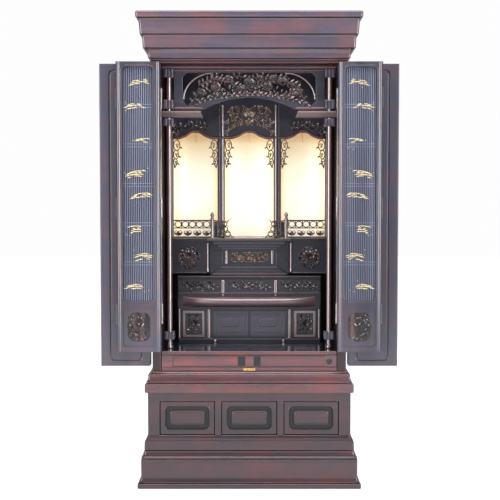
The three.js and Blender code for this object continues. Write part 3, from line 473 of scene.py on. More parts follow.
@dataclass(frozen=True)
class SoftBox:
    """A soft light that the camera doesn't see. Its places and sizes are in metres."""

    name: str
    place: Point
    aim: Point
    size: Pair
    watts: float
    colour: Rgb = WHITE

    def hang(self) -> None:
        """Hangs the light."""
        light = bpy.data.lights.new(self.name, "AREA")
        light.shape = "RECTANGLE"
        light.size, light.size_y = self.size
        light.energy = self.watts
        light.color = self.colour
        lamp = bpy.data.objects.new(self.name, light)
        lamp.location = self.place
        lamp.rotation_euler = (Vector(self.aim) - Vector(self.place)).to_track_quat("-Z", "Y").to_euler()
        lamp.visible_camera = False
        bpy.context.scene.collection.objects.link(lamp)


@dataclass
class Studio:
    """A plain pale room, soft lights, a lamp in each niche and the camera. Its places are in metres."""

    eye: Point = (0.0, -2.975, 0.854)
    pitch: float = 2.53
    lens: float = 64.33
    sensor: float = 36.0
    shift_x: float = 0.0015
    floor_radius: float = 14.0
    floor_drop: float = 0.0005
    floor_colour: Rgb = (0.93, 0.93, 0.94)
    floor_glow: float = 0.80
    room_seen: Rgb = (0.985, 0.985, 0.985)
    room_lit: Rgb = (0.93, 0.96, 1.0)
    room_light: float = 0.30
    boxes: Sequence[SoftBox] = (
        SoftBox("key_box", (-2.8, -4.0, 1.1), (0, 0, 0.9), (1.9, 3.2), 165.0),
        SoftBox("fill_box", (2.8, -3.5, 1.2), (0, 0, 0.8), (1.2, 2.8), 140.0),
        SoftBox("top_box", (0, -1.3, 3.0), (0, 0, 0.9), (2.4, 0.9), 60.0))
    niches: Sequence[tuple[str, float]] = (("left", -0.18), ("centre", 0.0), ("right", 0.18))
    niche_watts: float = 0.15

    def floor(self) -> None:
        """Lays the floor, marked as no part of the object."""
        bpy.ops.object.select_all(action="DESELECT")
        bpy.ops.mesh.primitive_circle_add(vertices=96, radius=self.floor_radius, fill_type="NGON",
                                          location=(0, 0, -self.floor_drop))
        floor = bpy.context.object
        floor.name = "studio_floor"
        nodes = Nodes("studio_floor")
        shade = tuple(c * 0.99 for c in self.floor_colour)
        tone = nodes.ramp(nodes.noise(nodes.coords(), 2.0, 2.0), (0.0, self.floor_colour), (1.0, shade))
        seen = nodes.add("LightPath").outputs["Is Camera Ray"]
        nodes.tune(Base_Color=tone, Roughness=0.9, Specular_IOR_Level=0.1, Emission_Color=WHITE,
                   Emission_Strength=nodes.maths("MULTIPLY", seen, self.floor_glow))
        floor.data.materials.append(nodes.material)

    def room(self) -> None:
        """Sets the pale surround, plain white behind and dimmer as a light."""
        world = bpy.data.worlds.new("pale_room")
        world.use_nodes = True
        tree = world.node_tree
        seen = tree.nodes["Background"]
        seen.inputs["Color"].default_value = (*self.room_seen, 1.0)
        lit = tree.nodes.new("ShaderNodeBackground")
        lit.inputs["Color"].default_value = (*self.room_lit, 1.0)
        lit.inputs["Strength"].default_value = self.room_light
        rays = tree.nodes.new("ShaderNodeLightPath")
        blend = tree.nodes.new("ShaderNodeMixShader")
        tree.links.new(rays.outputs["Is Camera Ray"], blend.inputs["Fac"])
        tree.links.new(lit.outputs["Background"], blend.inputs[1])
        tree.links.new(seen.outputs["Background"], blend.inputs[2])
        tree.links.new(blend.outputs["Shader"], tree.nodes["World Output"].inputs["Surface"])
        bpy.context.scene.world = world
        bpy.context.scene.view_settings.view_transform = "Standard"

    def lights(self) -> None:
        """Hangs the soft boxes and the three niche lamps."""
        for box in self.boxes:
            box.hang()
        for side, x in self.niches:
            SoftBox(f"niche_lamp_{side}", (x, 0.046, 0.90), (x, 0.3, 0.93), (0.11, 0.22), self.niche_watts,
                    (1.0, 0.97, 0.94)).hang()

    def camera(self) -> None:
        """Stands the camera before the cabinet."""
        data = bpy.data.cameras.new("front_view")
        data.lens = self.lens
        data.sensor_width = self.sensor
        data.shift_x = self.shift_x
        camera = bpy.data.objects.new("front_view", data)
        camera.location = self.eye
        camera.rotation_euler = (math.radians(90.0 - self.pitch), 0.0, 0.0)
        bpy.context.scene.collection.objects.link(camera)
        bpy.context.scene.camera = camera

    def build(self) -> None:
        """Builds the whole studio."""
        self.room()
        self.floor()
        self.lights()
        self.camera()


# ------------------------------------------------------------------ hand tools


@dataclass(frozen=True)
class Place:
    """A frame node's box."""

    x0: float
    x1: float
    y0: float
    y1: float
    z0: float
    z1: float

    @classmethod
    def of(cls, node: str) -> Place:
        """Reads a node's box from the frame."""
        low, high = (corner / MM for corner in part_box(node))
        return cls(low.x, high.x, low.y, high.y, low.z, high.z)

    @property
    def x(self) -> Pair:
        """Its reach along X."""
        return self.x0, self.x1

    @property
    def middle(self) -> Point:
        """Its middle."""
        return (self.x0 + self.x1) / 2, (self.y0 + self.y1) / 2, (self.z0 + self.z1) / 2


class Edge(Enum):
    """How a moulding runs up to a level from the one below."""

    STRAIGHT = "straight"
    COVE = "cove"
    ROUND = "round"


STRAIGHT, COVE, ROUND = Edge
Level = tuple[float, float, Edge]
CURVE_STEPS = 5


def courses(levels: Sequence[Level]) -> list[Pair]:
    """Lays out a moulding, its curves in steps.

    Args:
        levels: The height and overhang of each level, and how it is reached, lowest first.

    Returns:
        The height and overhang of each course.
    """
    found = [levels[0][:2]]
    for (z0, out0, _), (z1, out1, edge) in zip(levels, levels[1:]):
        if edge is STRAIGHT:
            found.append((z1, out1))
            continue
        upright_first = (edge is COVE) == (out1 > out0)
        for i in range(1, CURVE_STEPS + 1):
            turn = i / CURVE_STEPS * math.pi / 2
            up, across = math.sin(turn), 1.0 - math.cos(turn)
            if not upright_first:
                up, across = across, up
            found.append((z0 + (z1 - z0) * up, out0 + (out1 - out0) * across))
    return found


class Bench:
    """Primitives shaped in edit mode, and modifiers applied. Sizes are in millimetres."""

    still: Point = (1.0, 1.0, 1.0)
    origin: Point = (0.0, 0.0, 0.0)

    @staticmethod
    def alone(piece: Piece | None) -> None:
        """Selects one piece and nothing else.

        Args:
            piece: The piece, or None to select nothing.
        """
        bpy.ops.object.select_all(action="DESELECT")
        bpy.context.view_layer.objects.active = piece
        if piece is not None:
            piece.select_set(True)

    @classmethod
    def settle(cls, piece: Piece) -> Piece:
        """Puts a new piece's place into its mesh.

        Args:
            piece: The piece.

        Returns:
            The piece.
        """
        cls.alone(piece)
        bpy.ops.object.transform_apply(location=True, rotation=True, scale=True)
        return piece

    @classmethod
    def block(cls, x: Pair, y: Pair, z: Pair) -> Piece:
        """A cube stretched between two values on each axis.

        Args:
            x: Its reach along X.
            y: Its reach along Y.
            z: Its reach along Z.

        Returns:
            The piece.
        """
        cls.alone(None)
        centre = [(a + b) / 2 * MM for a, b in (x, y, z)]
        size = [abs(b - a) * MM for a, b in (x, y, z)]
        bpy.ops.mesh.primitive_cube_add(size=1.0, location=centre, scale=size)
        return cls.settle(bpy.context.object)

    @classmethod
    def bar(cls, x: Pair, y: Pair, z: Pair, ease: float = 0.8, segments: int = 3) -> Piece:
        """A block with arrises rounded to a radius in a number of steps."""
        return cls.ease(cls.block(x, y, z), ease, segments)

    @classmethod
    def work(cls, piece: Piece, steps: Sequence[Callable[[], object]]) -> Piece:
        """Runs edit-mode steps on all of a piece.

        Args:
            piece: The piece.
            steps: The operators to run.

        Returns:
            The piece.
        """
        cls.alone(piece)
        bpy.ops.object.mode_set(mode="EDIT")
        bpy.ops.mesh.select_mode(type="FACE")
        bpy.ops.mesh.select_all(action="SELECT")
        for step in steps:
            step()
        bpy.ops.object.mode_set(mode="OBJECT")
        return piece

    @classmethod
    def slab(cls, x: Pair, z: Pair, y: Pair, radius: float, segments: int = 6) -> Piece:
        """An upright slab with round or cut corners.

        Args:
            x: Its reach along X.
            z: Its reach along Z.
            y: Its faces.
            radius: The corners' radius.
            segments: Steps round a corner; 1 cuts it straight.

        Returns:
            The piece.
        """
        cls.alone(None)
        centre = ((x[0] + x[1]) / 2 * MM, y[0] * MM, (z[0] + z[1]) / 2 * MM)
        bpy.ops.mesh.primitive_plane_add(size=1.0, location=centre, rotation=(math.pi / 2, 0, 0))
        bpy.context.object.scale = (abs(x[1] - x[0]) * MM, abs(z[1] - z[0]) * MM, 1.0)
        piece = cls.settle(bpy.context.object)
        cls.work(piece, [lambda: bpy.ops.mesh.bevel(offset=radius * MM, segments=segments,
                                                    affect="VERTICES")])
        return cls.stack(piece, [((0.0, y[1] - y[0], 0.0), cls.still, cls.origin)])

    @classmethod
    def face(cls, outline: Sequence[Pair], level: float, axis: int) -> Piece:
        """A flat face of any outline: a disc whose rim points are moved into place.

        Args:
            outline: The rim's points on the two other axes, in their order.
            level: Where it stands on the axis across it.
            axis: The axis across it.

        Returns:
            The face.
        """
        cls.alone(None)
        bpy.ops.mesh.primitive_circle_add(vertices=len(outline), radius=1.0, fill_type="NGON")
        piece = bpy.context.object
        for vertex, rim_point in zip(piece.data.vertices, outline):
            place = list(rim_point)
            place.insert(axis, level)
            vertex.co = [value * MM for value in place]
        return cls.settle(piece)

    @classmethod
    def prism(cls, outline: Sequence[Pair], span: Pair, axis: int = 1) -> Piece:
        """A slab of any outline.

        Args:
            outline: The rim's points on the two other axes, in their order.
            span: Its reach along the axis.
            axis: The axis that it is extruded along.

        Returns:
            The piece.
        """
        move = [0.0, 0.0, 0.0]
        move[axis] = span[1] - span[0]
        return cls.stack(cls.face(outline, span[0], axis), [(tuple(move), cls.still, cls.origin)])

    @classmethod
    def ring(cls, x: Pair, z: Pair, y: Pair, radius: float, width: float, segments: int = 6) -> Piece:
        """A frame with round or cut corners.

        Args:
            x: Its outer reach along X.
            z: Its outer reach along Z.
            y: Its faces.
            radius: The outer corners' radius.
            width: The frame's width.
            segments: Steps round a corner; 1 cuts it straight.

        Returns:
            The piece.
        """
        outer = cls.slab(x, z, y, radius, segments)
        inner = cls.slab((x[0] + width, x[1] - width), (z[0] + width, z[1] - width), (min(y) - 5, max(y) + 5),
                         max(radius - width * 0.6, 0.6), segments)
        return cls.cut(outer, inner)

    @classmethod
    def plan(cls, half: float, front: float, back: float, z: float, radius: float) -> Piece:
        """A level face with round front corners, to be raised.

        Args:
            half: Half its width.
            front: Its front's Y.
            back: Its back's Y.
            z: Its height.
            radius: The front corners' radius.

        Returns:
            The face.
        """
        cls.alone(None)
        bpy.ops.mesh.primitive_plane_add(size=1.0, location=(0, (front + back) / 2 * MM, z * MM))
        bpy.context.object.scale = (2 * half * MM, (back - front) * MM, 1.0)
        piece = cls.settle(bpy.context.object)
        cls.alone(piece)
        bpy.ops.object.mode_set(mode="EDIT")
        cls.pick(piece, lambda place: place.y < front * MM + 1e-5)
        bpy.ops.mesh.bevel(offset=radius * MM, segments=5, affect="VERTICES")
        bpy.ops.object.mode_set(mode="OBJECT")
        return piece

    @staticmethod
    def pick(piece: Piece, test: Callable[[Vector], bool]) -> None:
        """Selects points of the piece that is being edited.

        Args:
            piece: The piece.
            test: Takes a point's place, in metres, and says whether it is selected.
        """
        bpy.ops.mesh.select_mode(type="VERT")
        bpy.ops.mesh.select_all(action="DESELECT")
        mesh = bmesh.from_edit_mesh(piece.data)
        for vertex in mesh.verts:
            vertex.select_set(test(vertex.co))
        mesh.select_flush_mode()
        bmesh.update_edit_mesh(piece.data)

    @classmethod
    def stack(cls, piece: Piece, rises: Sequence[Rise]) -> Piece:
        """Extrudes a flat outline step by step, stretching it at each one.

        Args:
            piece: A flat face.
            rises: For each step the move, the stretch along each axis, and the point it stretches about.

        Returns:
            The piece.
        """
        steps: list[Callable[[], object]] = []
        for move, stretch, centre in rises:
            steps.append(lambda move=move: bpy.ops.mesh.extrude_region_move(
                TRANSFORM_OT_translate={"value": tuple(m * MM for m in move)}))
            steps.append(lambda stretch=stretch, centre=centre: bpy.ops.transform.resize(
                value=stretch, center_override=tuple(c * MM for c in centre)))
        steps.append(lambda: bpy.ops.mesh.select_all(action="SELECT"))
        steps.append(lambda: bpy.ops.mesh.normals_make_consistent(inside=False))
        return cls.work(piece, steps)

    @classmethod
    def moulded(cls, levels: Sequence[Level], half: Callable[[float], float], deep: Callable[[float], float],
                back: float, radius: float) -> Piece:
        """A block raised course by course, moulded in front and at the sides and flat behind.

        Args:
            levels: The moulding's levels.
            half: Gives half the width at an overhang.
            deep: Gives the depth at an overhang.
            back: The back's Y.
            radius: The front corners' radius.

        Returns:
            The piece.
        """
        (z, out), *rest = courses(levels)
        piece = cls.plan(half(out), back - deep(out), back, z, radius)
        rises = []
        for next_z, next_out in rest:
            stretch = (half(next_out) / half(out), deep(next_out) / deep(out), 1.0)
            rises.append(((0.0, 0.0, next_z - z), stretch, (0.0, back, next_z)))
            z, out = next_z, next_out
        return cls.stack(piece, rises)

    @classmethod
    def turned(cls, x: float, y: float, profile: Sequence[Pair], sides: int = 20,
               angle: float = 38.0) -> Piece:
        """A smooth turned piece on an upright axis.

        Args:
            x: The axis' X.
            y: The axis' Y.
            profile: The radius and height of each level, lowest first.
            sides: Sides round it.
            angle: The angle that it is shaded smooth below, in degrees.

        Returns:
            The piece.
        """
        cls.alone(None)
        radius, z = profile[0]
        bpy.ops.mesh.primitive_circle_add(vertices=sides, radius=radius * MM, fill_type="NGON",
                                          location=(x * MM, y * MM, z * MM))
        piece = cls.settle(bpy.context.object)
        rises = []
        for next_radius, next_z in profile[1:]:
            ratio = next_radius / radius
            rises.append(((0.0, 0.0, next_z - z), (ratio, ratio, 1.0), (x, y, next_z)))
            radius, z = next_radius, next_z
        return cls.smooth(cls.stack(piece, rises), angle)

    @classmethod
    def modify(cls, piece: Piece, kind: str, **settings: object) -> Piece:
        """Adds a modifier and applies it.

        Args:
            piece: The piece.
            kind: The modifier's type.
            **settings: Its properties.

        Returns:
            The piece.
        """
        cls.alone(piece)
        modifier = piece.modifiers.new(kind.lower(), kind)
        for key, value in settings.items():
            setattr(modifier, key, value)
        bpy.ops.object.modifier_apply(modifier=modifier.name)
        return piece

    @classmethod
    def cut(cls, piece: Piece, *cutters: Piece) -> Piece:
        """Takes cutters' shapes out of a piece and clears them away.

        Args:
            piece: The piece.
            *cutters: What is taken out.

        Returns:
            The piece.
        """
        for cutter in cutters:
            cls.modify(piece, "BOOLEAN", object=cutter, operation="DIFFERENCE", solver="EXACT")
            bpy.data.objects.remove(cutter)
        return piece

    @classmethod
    def ease(cls, piece: Piece, width: float, segments: int = 2, angle: float = 30.0) -> Piece:
        """Rounds the arrises and smooths what is left between them.

        Args:
            piece: The piece.
            width: The rounding's width.
            segments: Steps across it.
            angle: The least angle that counts as an arris, in degrees.

        Returns:
            The piece.
        """
        cls.modify(piece, "BEVEL", width=width * MM, segments=segments, limit_method="ANGLE",
                   angle_limit=math.radians(angle))
        return cls.smooth(piece)

    @classmethod
    def smooth(cls, piece: Piece, angle: float = 38.0) -> Piece:
        """Shades a piece smooth below an angle.

        Args:
            piece: The piece.
            angle: The angle, in degrees.

        Returns:
            The piece.
        """
        cls.alone(piece)
        bpy.ops.object.shade_smooth_by_angle(angle=math.radians(angle))
        return piece

    @classmethod
    def join(cls, pieces: Sequence[Piece], name: str) -> Piece:
        """Joins pieces into one.

        Args:
            pieces: The pieces.
            name: The whole piece's name.

        Returns:
            The whole piece.
        """
        cls.alone(pieces[0])
        for piece in pieces[1:]:
            piece.select_set(True)
        if len(pieces) > 1:
            bpy.ops.object.join()
        whole = bpy.context.view_layer.objects.active
        whole.name = name
        whole.data.name = name
        return whole

    @staticmethod
    def copy(piece: Piece, name: str, change: Matrix) -> Piece:
        """A changed copy with its own mesh.

        Args:
            piece: The piece.
            name: The copy's name.
            change: How its mesh is moved or mirrored, in metres.

        Returns:
            The copy, its faces pointing outwards.
        """
        mesh = piece.data.copy()
        mesh.transform(change)
        if change.is_negative:
            mesh.flip_normals()
        mesh.name = name
        copy = bpy.data.objects.new(name, mesh)
        bpy.context.scene.collection.objects.link(copy)
        return copy

    @classmethod
    def mirror(cls, piece: Piece, name: str, axis: int = 0, about: float = 0.0) -> Piece:
        """A copy on the other side of a plane, by the axis across it and its place on that."""
        normal = Vector([1.0 if i == axis else 0.0 for i in range(3)])
        change = Matrix.Translation(normal * 2 * about * MM) @ Matrix.Scale(-1.0, 4, normal)
        return cls.copy(piece, name, change)


class Workshop:
    """Hands a finished piece its name, its finish, its body and the node it stands for."""

    def __init__(self, nodes: dict[str, Piece]) -> None:
        """Keeps the frame's nodes and their bodies.

        Args:
            nodes: The nodes by name.
        """
        self.nodes = nodes
        self.bodies = {name: piece["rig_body"] for name, piece in nodes.items()}
        self.materials: dict[str, bpy.types.Material] = {}

    def finish(self, kind: Finish, grain: Grain = Grain.X) -> bpy.types.Material:
        """A finish's material, made when first asked for.

        Args:
            kind: The finish.
            grain: A wood's grain direction.

        Returns:
            The material.
        """
        woody = isinstance(kind, Wood)
        key = f"{kind.name}_{grain.name}" if woody else kind.name
        if key not in self.materials:
            self.materials[key] = kind.make(grain) if woody else kind.make()
        return self.materials[key]

    def place(self, name: str, parts: Sequence[Piece], kind: Finish, node: str, grain: Grain = Grain.X,
              slot: str = "carved_wood", trim: bool = False) -> None:
        """Joins and finishes a piece, and lets it ride where a node rides.

        Args:
            name: The piece's name.
            parts: What it is joined from.
            kind: Its finish.
            node: The node that it goes with.
            grain: Its grain direction.
            slot: The record's material slot, not used.
            trim: Whether it only adds to another piece that stands for the node.
        """
        piece = Bench.join(parts, name)
        Bench.modify(piece, "WEIGHTED_NORMAL", keep_sharp=True)
        piece.data.materials.clear()
        piece.data.materials.append(self.finish(kind, grain))
        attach(piece, self.bodies[node])
        if not trim:
            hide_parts(node)
        LOG.info("%s: %d faces", piece.name, len(piece.data.polygons))

    def place_pair(self, name: str, parts: Sequence[Piece], kind: Finish, node: str, grain: Grain = Grain.X,
                   slot: str = "carved_wood", trim: bool = False) -> None:
        """Places a right-hand piece and its left-hand copy.

        Args:
            name: The pieces' name without its side.
            parts: What the right-hand piece is joined from.
            kind: Their finish.
            node: The nodes' name without its side.
            grain: Their grain direction.
            slot: The record's material slot, passed on and not used.
            trim: Whether they only add to other pieces that stand for the nodes.
        """
        right = Bench.join(parts, f"{name}_right")
        left = Bench.mirror(right, f"{name}_left")
        for side, piece in (("right", right), ("left", left)):
            self.place(f"{name}_{side}", [piece], kind, f"{node}_{side}", grain, slot, trim)

    def place_leaves(self, stem: str, part: Piece, kind: Finish, node: str, plane: float, slot: str,
                     leaves: tuple[str, str] = ("folding", "hinged"), trim: bool = False) -> None:
        """Places a leaf's piece, and the same turned over for the leaf that lies folded against it.

        Args:
            stem: The pieces' name without its leaf and side.
            part: The first leaf's right-hand piece.
            kind: Their finish.
            node: The nodes' name without its side, with {} for the leaf.
            plane: The plane between the two leaves.
            slot: The record's material slot, passed on and not used.
            leaves: The leaf that the piece is made for, and the other one.
            trim: Whether they only add to other pieces that stand for the nodes.
        """
        other = Bench.mirror(part, f"{stem}_{leaves[1]}_right", 1, plane)
        for leaf, piece in zip(leaves, (part, other)):
            self.place_pair(f"{stem}_{leaf}", [piece], kind, node.format(leaf), Grain.Z, slot, trim)

    def dress(self, names: Iterable[str], kind: Finish, grain: Grain = Grain.X, ease: float = 0.7) -> None:
        """Eases the arrises of some of the frame's own boards and finishes them.

        Args:
            names: The nodes' names.
            kind: Their finish.
            grain: Their grain direction.
            ease: The width of the eased edges.
        """
        for name in names:
            board = self.nodes[name]
            board.data.materials.clear()
            board.data.materials.append(self.finish(kind, grain))
            for tool, settings in (
                    ("WELD", {"merge_threshold": 0.00002}),
                    ("DECIMATE", {"decimate_type": "DISSOLVE", "angle_limit": math.radians(1.0)}),
                    ("BEVEL", {"width": ease * MM, "segments": 2, "limit_method": "ANGLE",
                               "angle_limit": math.radians(28.0)})):
                modifier = board.modifiers.new(tool.lower(), tool)
                for key, value in settings.items():
                    setattr(modifier, key, value)
            LOG.info("dressed %s", name)


# ------------------------------------------------------------------ carving


class Blank(Enum):
    """The unit shapes that a carving is cut from."""

    LEAF = "leaf"
    PETAL = "petal"
    BEAD = "bead"


LEAF, PETAL, BEAD = Blank
SHAPING: dict[Blank, Sequence[tuple[Callable[[Vector], bool], Point, Point]]] = {
    LEAF: ((lambda v: abs(v.x) < 0.1 and v.y < -0.2, (0.0, 0.45, 0.0), (1.0, 1.0, 1.0)),
           (lambda v: v.z > 0.55, (0.0, -0.1, 0.12), (0.62, 1.0, 1.0)),
           (lambda v: v.z < -0.55, (0.0, 0.1, 0.0), (0.5, 0.8, 1.0))),
    PETAL: ((lambda v: abs(v.x) < 0.1 and v.y < -0.2, (0.0, 0.6, 0.0), (1.0, 1.0, 1.0)),
            (lambda v: v.z > 0.3, (0.0, -0.35, 0.0), (1.12, 1.0, 0.9)),
            (lambda v: v.z < -0.3, (0.0, 0.25, 0.0), (0.55, 0.8, 1.0))),
}


class Carver:
    """Leaves, petals and stems cut from a few blanks, joined into one carving."""

    blanks: dict[Blank, Piece] = {}

    def __init__(self, name: str, y: float) -> None:
        """Starts a carving.

        Args:
            name: The carving's name.
            y: The plane that it stands in.
        """
        self.name = name
        self.y = y
        self.cuttings: list[Piece] = []
        self.stems = bpy.data.curves.new(name + "_stems", "CURVE")
        self.stems.dimensions = "3D"
        self.stems.bevel_depth = MM
        self.stems.bevel_resolution = 2
        self.stems.use_fill_caps = True

    @classmethod
    def blank(cls, kind: Blank) -> Piece:
        """The unit shape that leaves, petals or beads are copied from: a ball, moved and stretched in parts.

        Args:
            kind: Which shape.

        Returns:
            The blank, a leaf's or a petal's foot at the origin.
        """
        if kind in cls.blanks:
            return cls.blanks[kind]
        Bench.alone(None)
        bpy.ops.mesh.primitive_uv_sphere_add(segments=8, ring_count=5 if kind is BEAD else 7, radius=1.0)
        blank = Bench.settle(bpy.context.object)
        if kind is not BEAD:
            bpy.ops.object.mode_set(mode="EDIT")
            for test, move, size in SHAPING[kind]:
                Bench.pick(blank, test)
                bpy.ops.transform.translate(value=move)
                bpy.ops.transform.resize(value=size, center_override=(0.0, 0.0, 0.0))
            bpy.ops.object.mode_set(mode="OBJECT")
            blank.data.transform(Matrix.Translation((0.0, 0.0, 1.0)))
        blank.data.shade_smooth()
        bpy.context.scene.collection.objects.unlink(blank)
        cls.blanks[kind] = blank
        return blank

    @classmethod
    def clear(cls) -> None:
        """Throws the blanks away."""
        for blank in cls.blanks.values():
            bpy.data.objects.remove(blank)
        cls.blanks.clear()

    def cutting(self, kind: Blank, x: float, z: float, length: float, width: float, heading: float,
                thick: float = 1.6, lift: float = 0.0, out: float = 0.0) -> None:
        """Sets one leaf, petal or bead.

        Args:
            kind: Which blank.
            x: Its foot's X.
            z: Its foot's Z.
            length: Its length.
            width: Its width.
            heading: Where it points, in radians clockwise from up.
            thick: Half its thickness.
            lift: How far its tip leans out, in radians.
            out: How far its foot stands out of the plane.
        """
        mesh = self.blank(kind).data.copy()
        shape = Matrix.Diagonal((width / 2 * MM, thick * MM, length / 2 * MM, 1.0))
        turn = Matrix.Rotation(heading, 4, "Y") @ Matrix.Rotation(lift, 4, "X")
        mesh.transform(Matrix.Translation((x * MM, (self.y - out) * MM, z * MM)) @ turn @ shape)
        piece = bpy.data.objects.new(f"{self.name}_{len(self.cuttings)}", mesh)
        bpy.context.scene.collection.objects.link(piece)
        self.cuttings.append(piece)

    def bead(self, x: float, z: float, size: float, thick: float, out: float = 0.0) -> None:
        """Sets a round bead."""
        self.cutting(BEAD, x, z, size, size, 0.0, thick, out=out)

    def stem(self, points: Sequence[Pair], thick: float, tip: float | None = None, closed: bool = False,
             out: float = 0.0) -> None:
        """Runs a rounded stem through points (x, z).

        Args:
            points: Where it runs.
            thick: Its radius at the start.
            tip: Its radius at the end, or None for the same.
            closed: Whether it closes on itself.
            out: How far it stands out of the plane.
        """
        spline = self.stems.splines.new("POLY")
        spline.points.add(len(points) - 1)
        last = max(len(points) - 1, 1)
        for i, (point, (x, z)) in enumerate(zip(spline.points, points)):
            point.co = (x * MM, (self.y - out) * MM, z * MM, 1.0)
            point.radius = thick if tip is None else thick + (tip - thick) * i / last
        spline.use_cyclic_u = closed

    def loop(self, x: float, z: float, wide: float, tall: float, count: int, thick: float,
             out: float = 0.0) -> None:
        """Closes a stem in an oval about a middle, with a number of points."""
        path = oval(x, z, wide, tall)
        self.stem([path(i / count) for i in range(count)], thick, closed=True, out=out)

    def scroll(self, x: float, z: float, radius: float, start: float, turns: float, thick: float,
               hand: int = 1, out: float = 0.0) -> None:
        """A spiral that winds in to a bead.

        Args:
            x: The middle's X.
            z: The middle's Z.
            radius: The outer radius.
            start: Where it starts, in radians clockwise from up.
            turns: How many turns it makes.
            thick: The stem's radius.
            hand: 1 winds clockwise, -1 the other way.
            out: How far it stands out of the plane.
        """
        count = max(8, int(turns * 10))
        points = []
        for i in range(count + 1):
            part = i / count
            angle = start + hand * part * turns * FULL_TURN
            reach = radius * (1.0 - 0.72 * part)
            points.append((x + reach * math.sin(angle), z + reach * math.cos(angle)))
        self.stem(points, thick, thick * 0.6, out=out)
        self.bead(*points[-1], thick * 3.4, thick * 1.6, out)

    def blossom(self, x: float, z: float, radius: float, petals: int = 6, out: float = 2.0) -> None:
        """A double blossom round a beaded heart.

        Args:
            x: Its middle's X.
            z: Its middle's Z.
            radius: Its radius.
            petals: Petals in a ring.
            out: How far it stands out.
        """
        for ring, (reach, lift, shift) in enumerate(((1.0, 0.25, 0.0), (0.66, 0.6, 0.5))):
            size = radius * reach
            for i in range(petals):
                self.cutting(PETAL, x, z, size, size * 0.95, (i + shift) / petals * FULL_TURN, 1.3, lift,
                             out + ring * 0.8)
        self.bead(x, z, radius * 0.36, radius * 0.2, out + 2.0)

    def spray(self, path: Path, count: int, length: float, width: float, lean: float = 0.8, seed: int = 1,
              out: float = 0.6) -> None:
        """Leaves along a path, leaning to either side.

        Args:
            path: Gives (x, z) for 0 to 1.
            count: How many leaves.
            length: Their length.
            width: Their width.
            lean: How far they lean off the path, in radians.
            seed: Sets their small differences.
            out: How far they stand out.
        """
        chance = random.Random(seed)
        for i in range(count):
            part = (i + 0.5) / count
            x, z = path(part)
            next_x, next_z = path(part + 0.01)
            side = lean if i % 2 else -lean
            heading = math.atan2(next_x - x, next_z - z) + side * chance.uniform(0.75, 1.25)
            size = chance.uniform(0.8, 1.2)
            self.cutting(LEAF, x, z, length * size, width * size, heading, 1.5, chance.uniform(0.05, 0.5),
                         out)

    def done(self, *extra: Piece) -> Piece:
        """Turns the stems into mesh and joins the whole carving.

        Args:
            *extra: Other pieces that belong to it.

        Returns:
            The carving.
        """
        parts = [*extra, *self.cuttings]
        if self.stems.splines:
            stems = bpy.data.objects.new(self.name + "_stems", self.stems)
            bpy.context.scene.collection.objects.link(stems)
            Bench.alone(stems)
            bpy.ops.object.convert(target="MESH")
            stems = bpy.context.object
            stems.data.shade_smooth()
            parts.append(stems)
        return Bench.join(parts, self.name)


def arc(half: float, z: float, rise: float) -> Path:
    """A low arch from -half to half, as a path."""
    return lambda t: (half * (2 * t - 1), z + rise * (1 - (2 * t - 1) ** 2))


def oval(x: float, z: float, wide: float, tall: float, start: float = 0.0, sweep: float = FULL_TURN) -> Path:
    """An oval about a middle, or a stretch of it, as a path clockwise from the top."""
    return lambda t: (x + wide * math.sin(start + sweep * t), z + tall * math.cos(start + sweep * t))


def vine(x: float, long: float, z: float, *waves: Point) -> Path:
    """A level path about a middle, with waves by their rise, half turns and start in half turns."""
    return lambda t: (x + long * (t - 0.5), z + sum(rise * math.sin((turns * t + start) * math.pi)
                                                    for rise, turns, start in waves))


def points_on(path: Path, count: int) -> list[Pair]:
    """Points along a path, ends included."""
    return [path(i / (count - 1)) for i in range(count)]


# ------------------------------------------------------------------ base and cornice


@dataclass
class MouldedBlock:
    """A block of the base or the cornice, moulded in front and at the sides, flat behind."""

    node: str
    wood: Wood
    levels: Sequence[Level]
    radius: float = 6.0
    half: float = 300.0
    front: float = -225.0
    back: float = 270.0

    def build(self, shop: Workshop) -> None:
        """Raises the block from its lowest outline.

        Args:
            shop: The workshop that places it.
        """
        depth = self.back - self.front
        piece = Bench.moulded(self.levels, lambda out: self.half + out, lambda out: depth + out, self.back,
                              self.radius)
        Bench.ease(piece, 1.0, 3, 24.0)
        shop.place(self.node + "_block", [piece], self.wood, self.node, Grain.WRAP, "base_rosewood")


@dataclass
class BasePanel:
    """A panel of the base: a flat frame round a deep channel, and a raised field in its middle."""

    node: str
    margin: float = 1.2
    channel: float = 16.5
    field_inset: float = 31.0
    deep: float = 8.0

    def build(self, shop: Workshop) -> None:
        """Builds the frame, the channel with a near-black board in it as painted shade, and the field.

        Args:
            shop: The workshop that places them.
        """
        p = Place.of(self.node)
        front = p.y0 + 1.4
        floor = front + self.deep

        def inset(by: float, lift: float) -> tuple[Pair, Pair]:
            """The panel's reach along X and Z, drawn in all round, its top lifted a little."""
            return (p.x0 + by, p.x1 - by), (p.z0 + by, p.z1 - by + lift)

        out, inner = self.channel, self.field_inset
        x, z = inset(self.margin, 0)
        frame = Bench.block(x, (front, p.y1), z)
        hollow = Bench.slab(*inset(out, 1), (p.y0 - 3, floor), 15.0, 4)
        Bench.ease(Bench.cut(frame, hollow), 1.6, 3)
        rim = Bench.ring(*inset(out - 3, 1), (p.y0, front + 1), 17.0, 3.4, 4)
        field = Bench.slab(*inset(inner, 1), (p.y0 + 1.5, floor + 1), 9.0, 4)
        line = Bench.ring(*inset(inner + 4, 1), (p.y0 + 0.6, p.y0 + 3), 6.0, 1.8, 4)
        parts = [frame, Bench.ease(rim, 1.0, 3), Bench.ease(field, 2.6, 3), Bench.ease(line, 0.6, 2)]
        shop.place(self.node + "_work", parts, BASE_WOOD, self.node, slot="base_rosewood")
        # A near-black board at the channel's floor: painted shade in the recess.
        shade_board = Bench.slab(*inset(out - 2, 1), (floor - 0.6, floor + 0.6), 15.0, 4)
        shop.place(self.node + "_channel", [shade_board], DARK_WOOD, self.node, slot="base_rosewood", trim=True)


# ------------------------------------------------------------------ doors


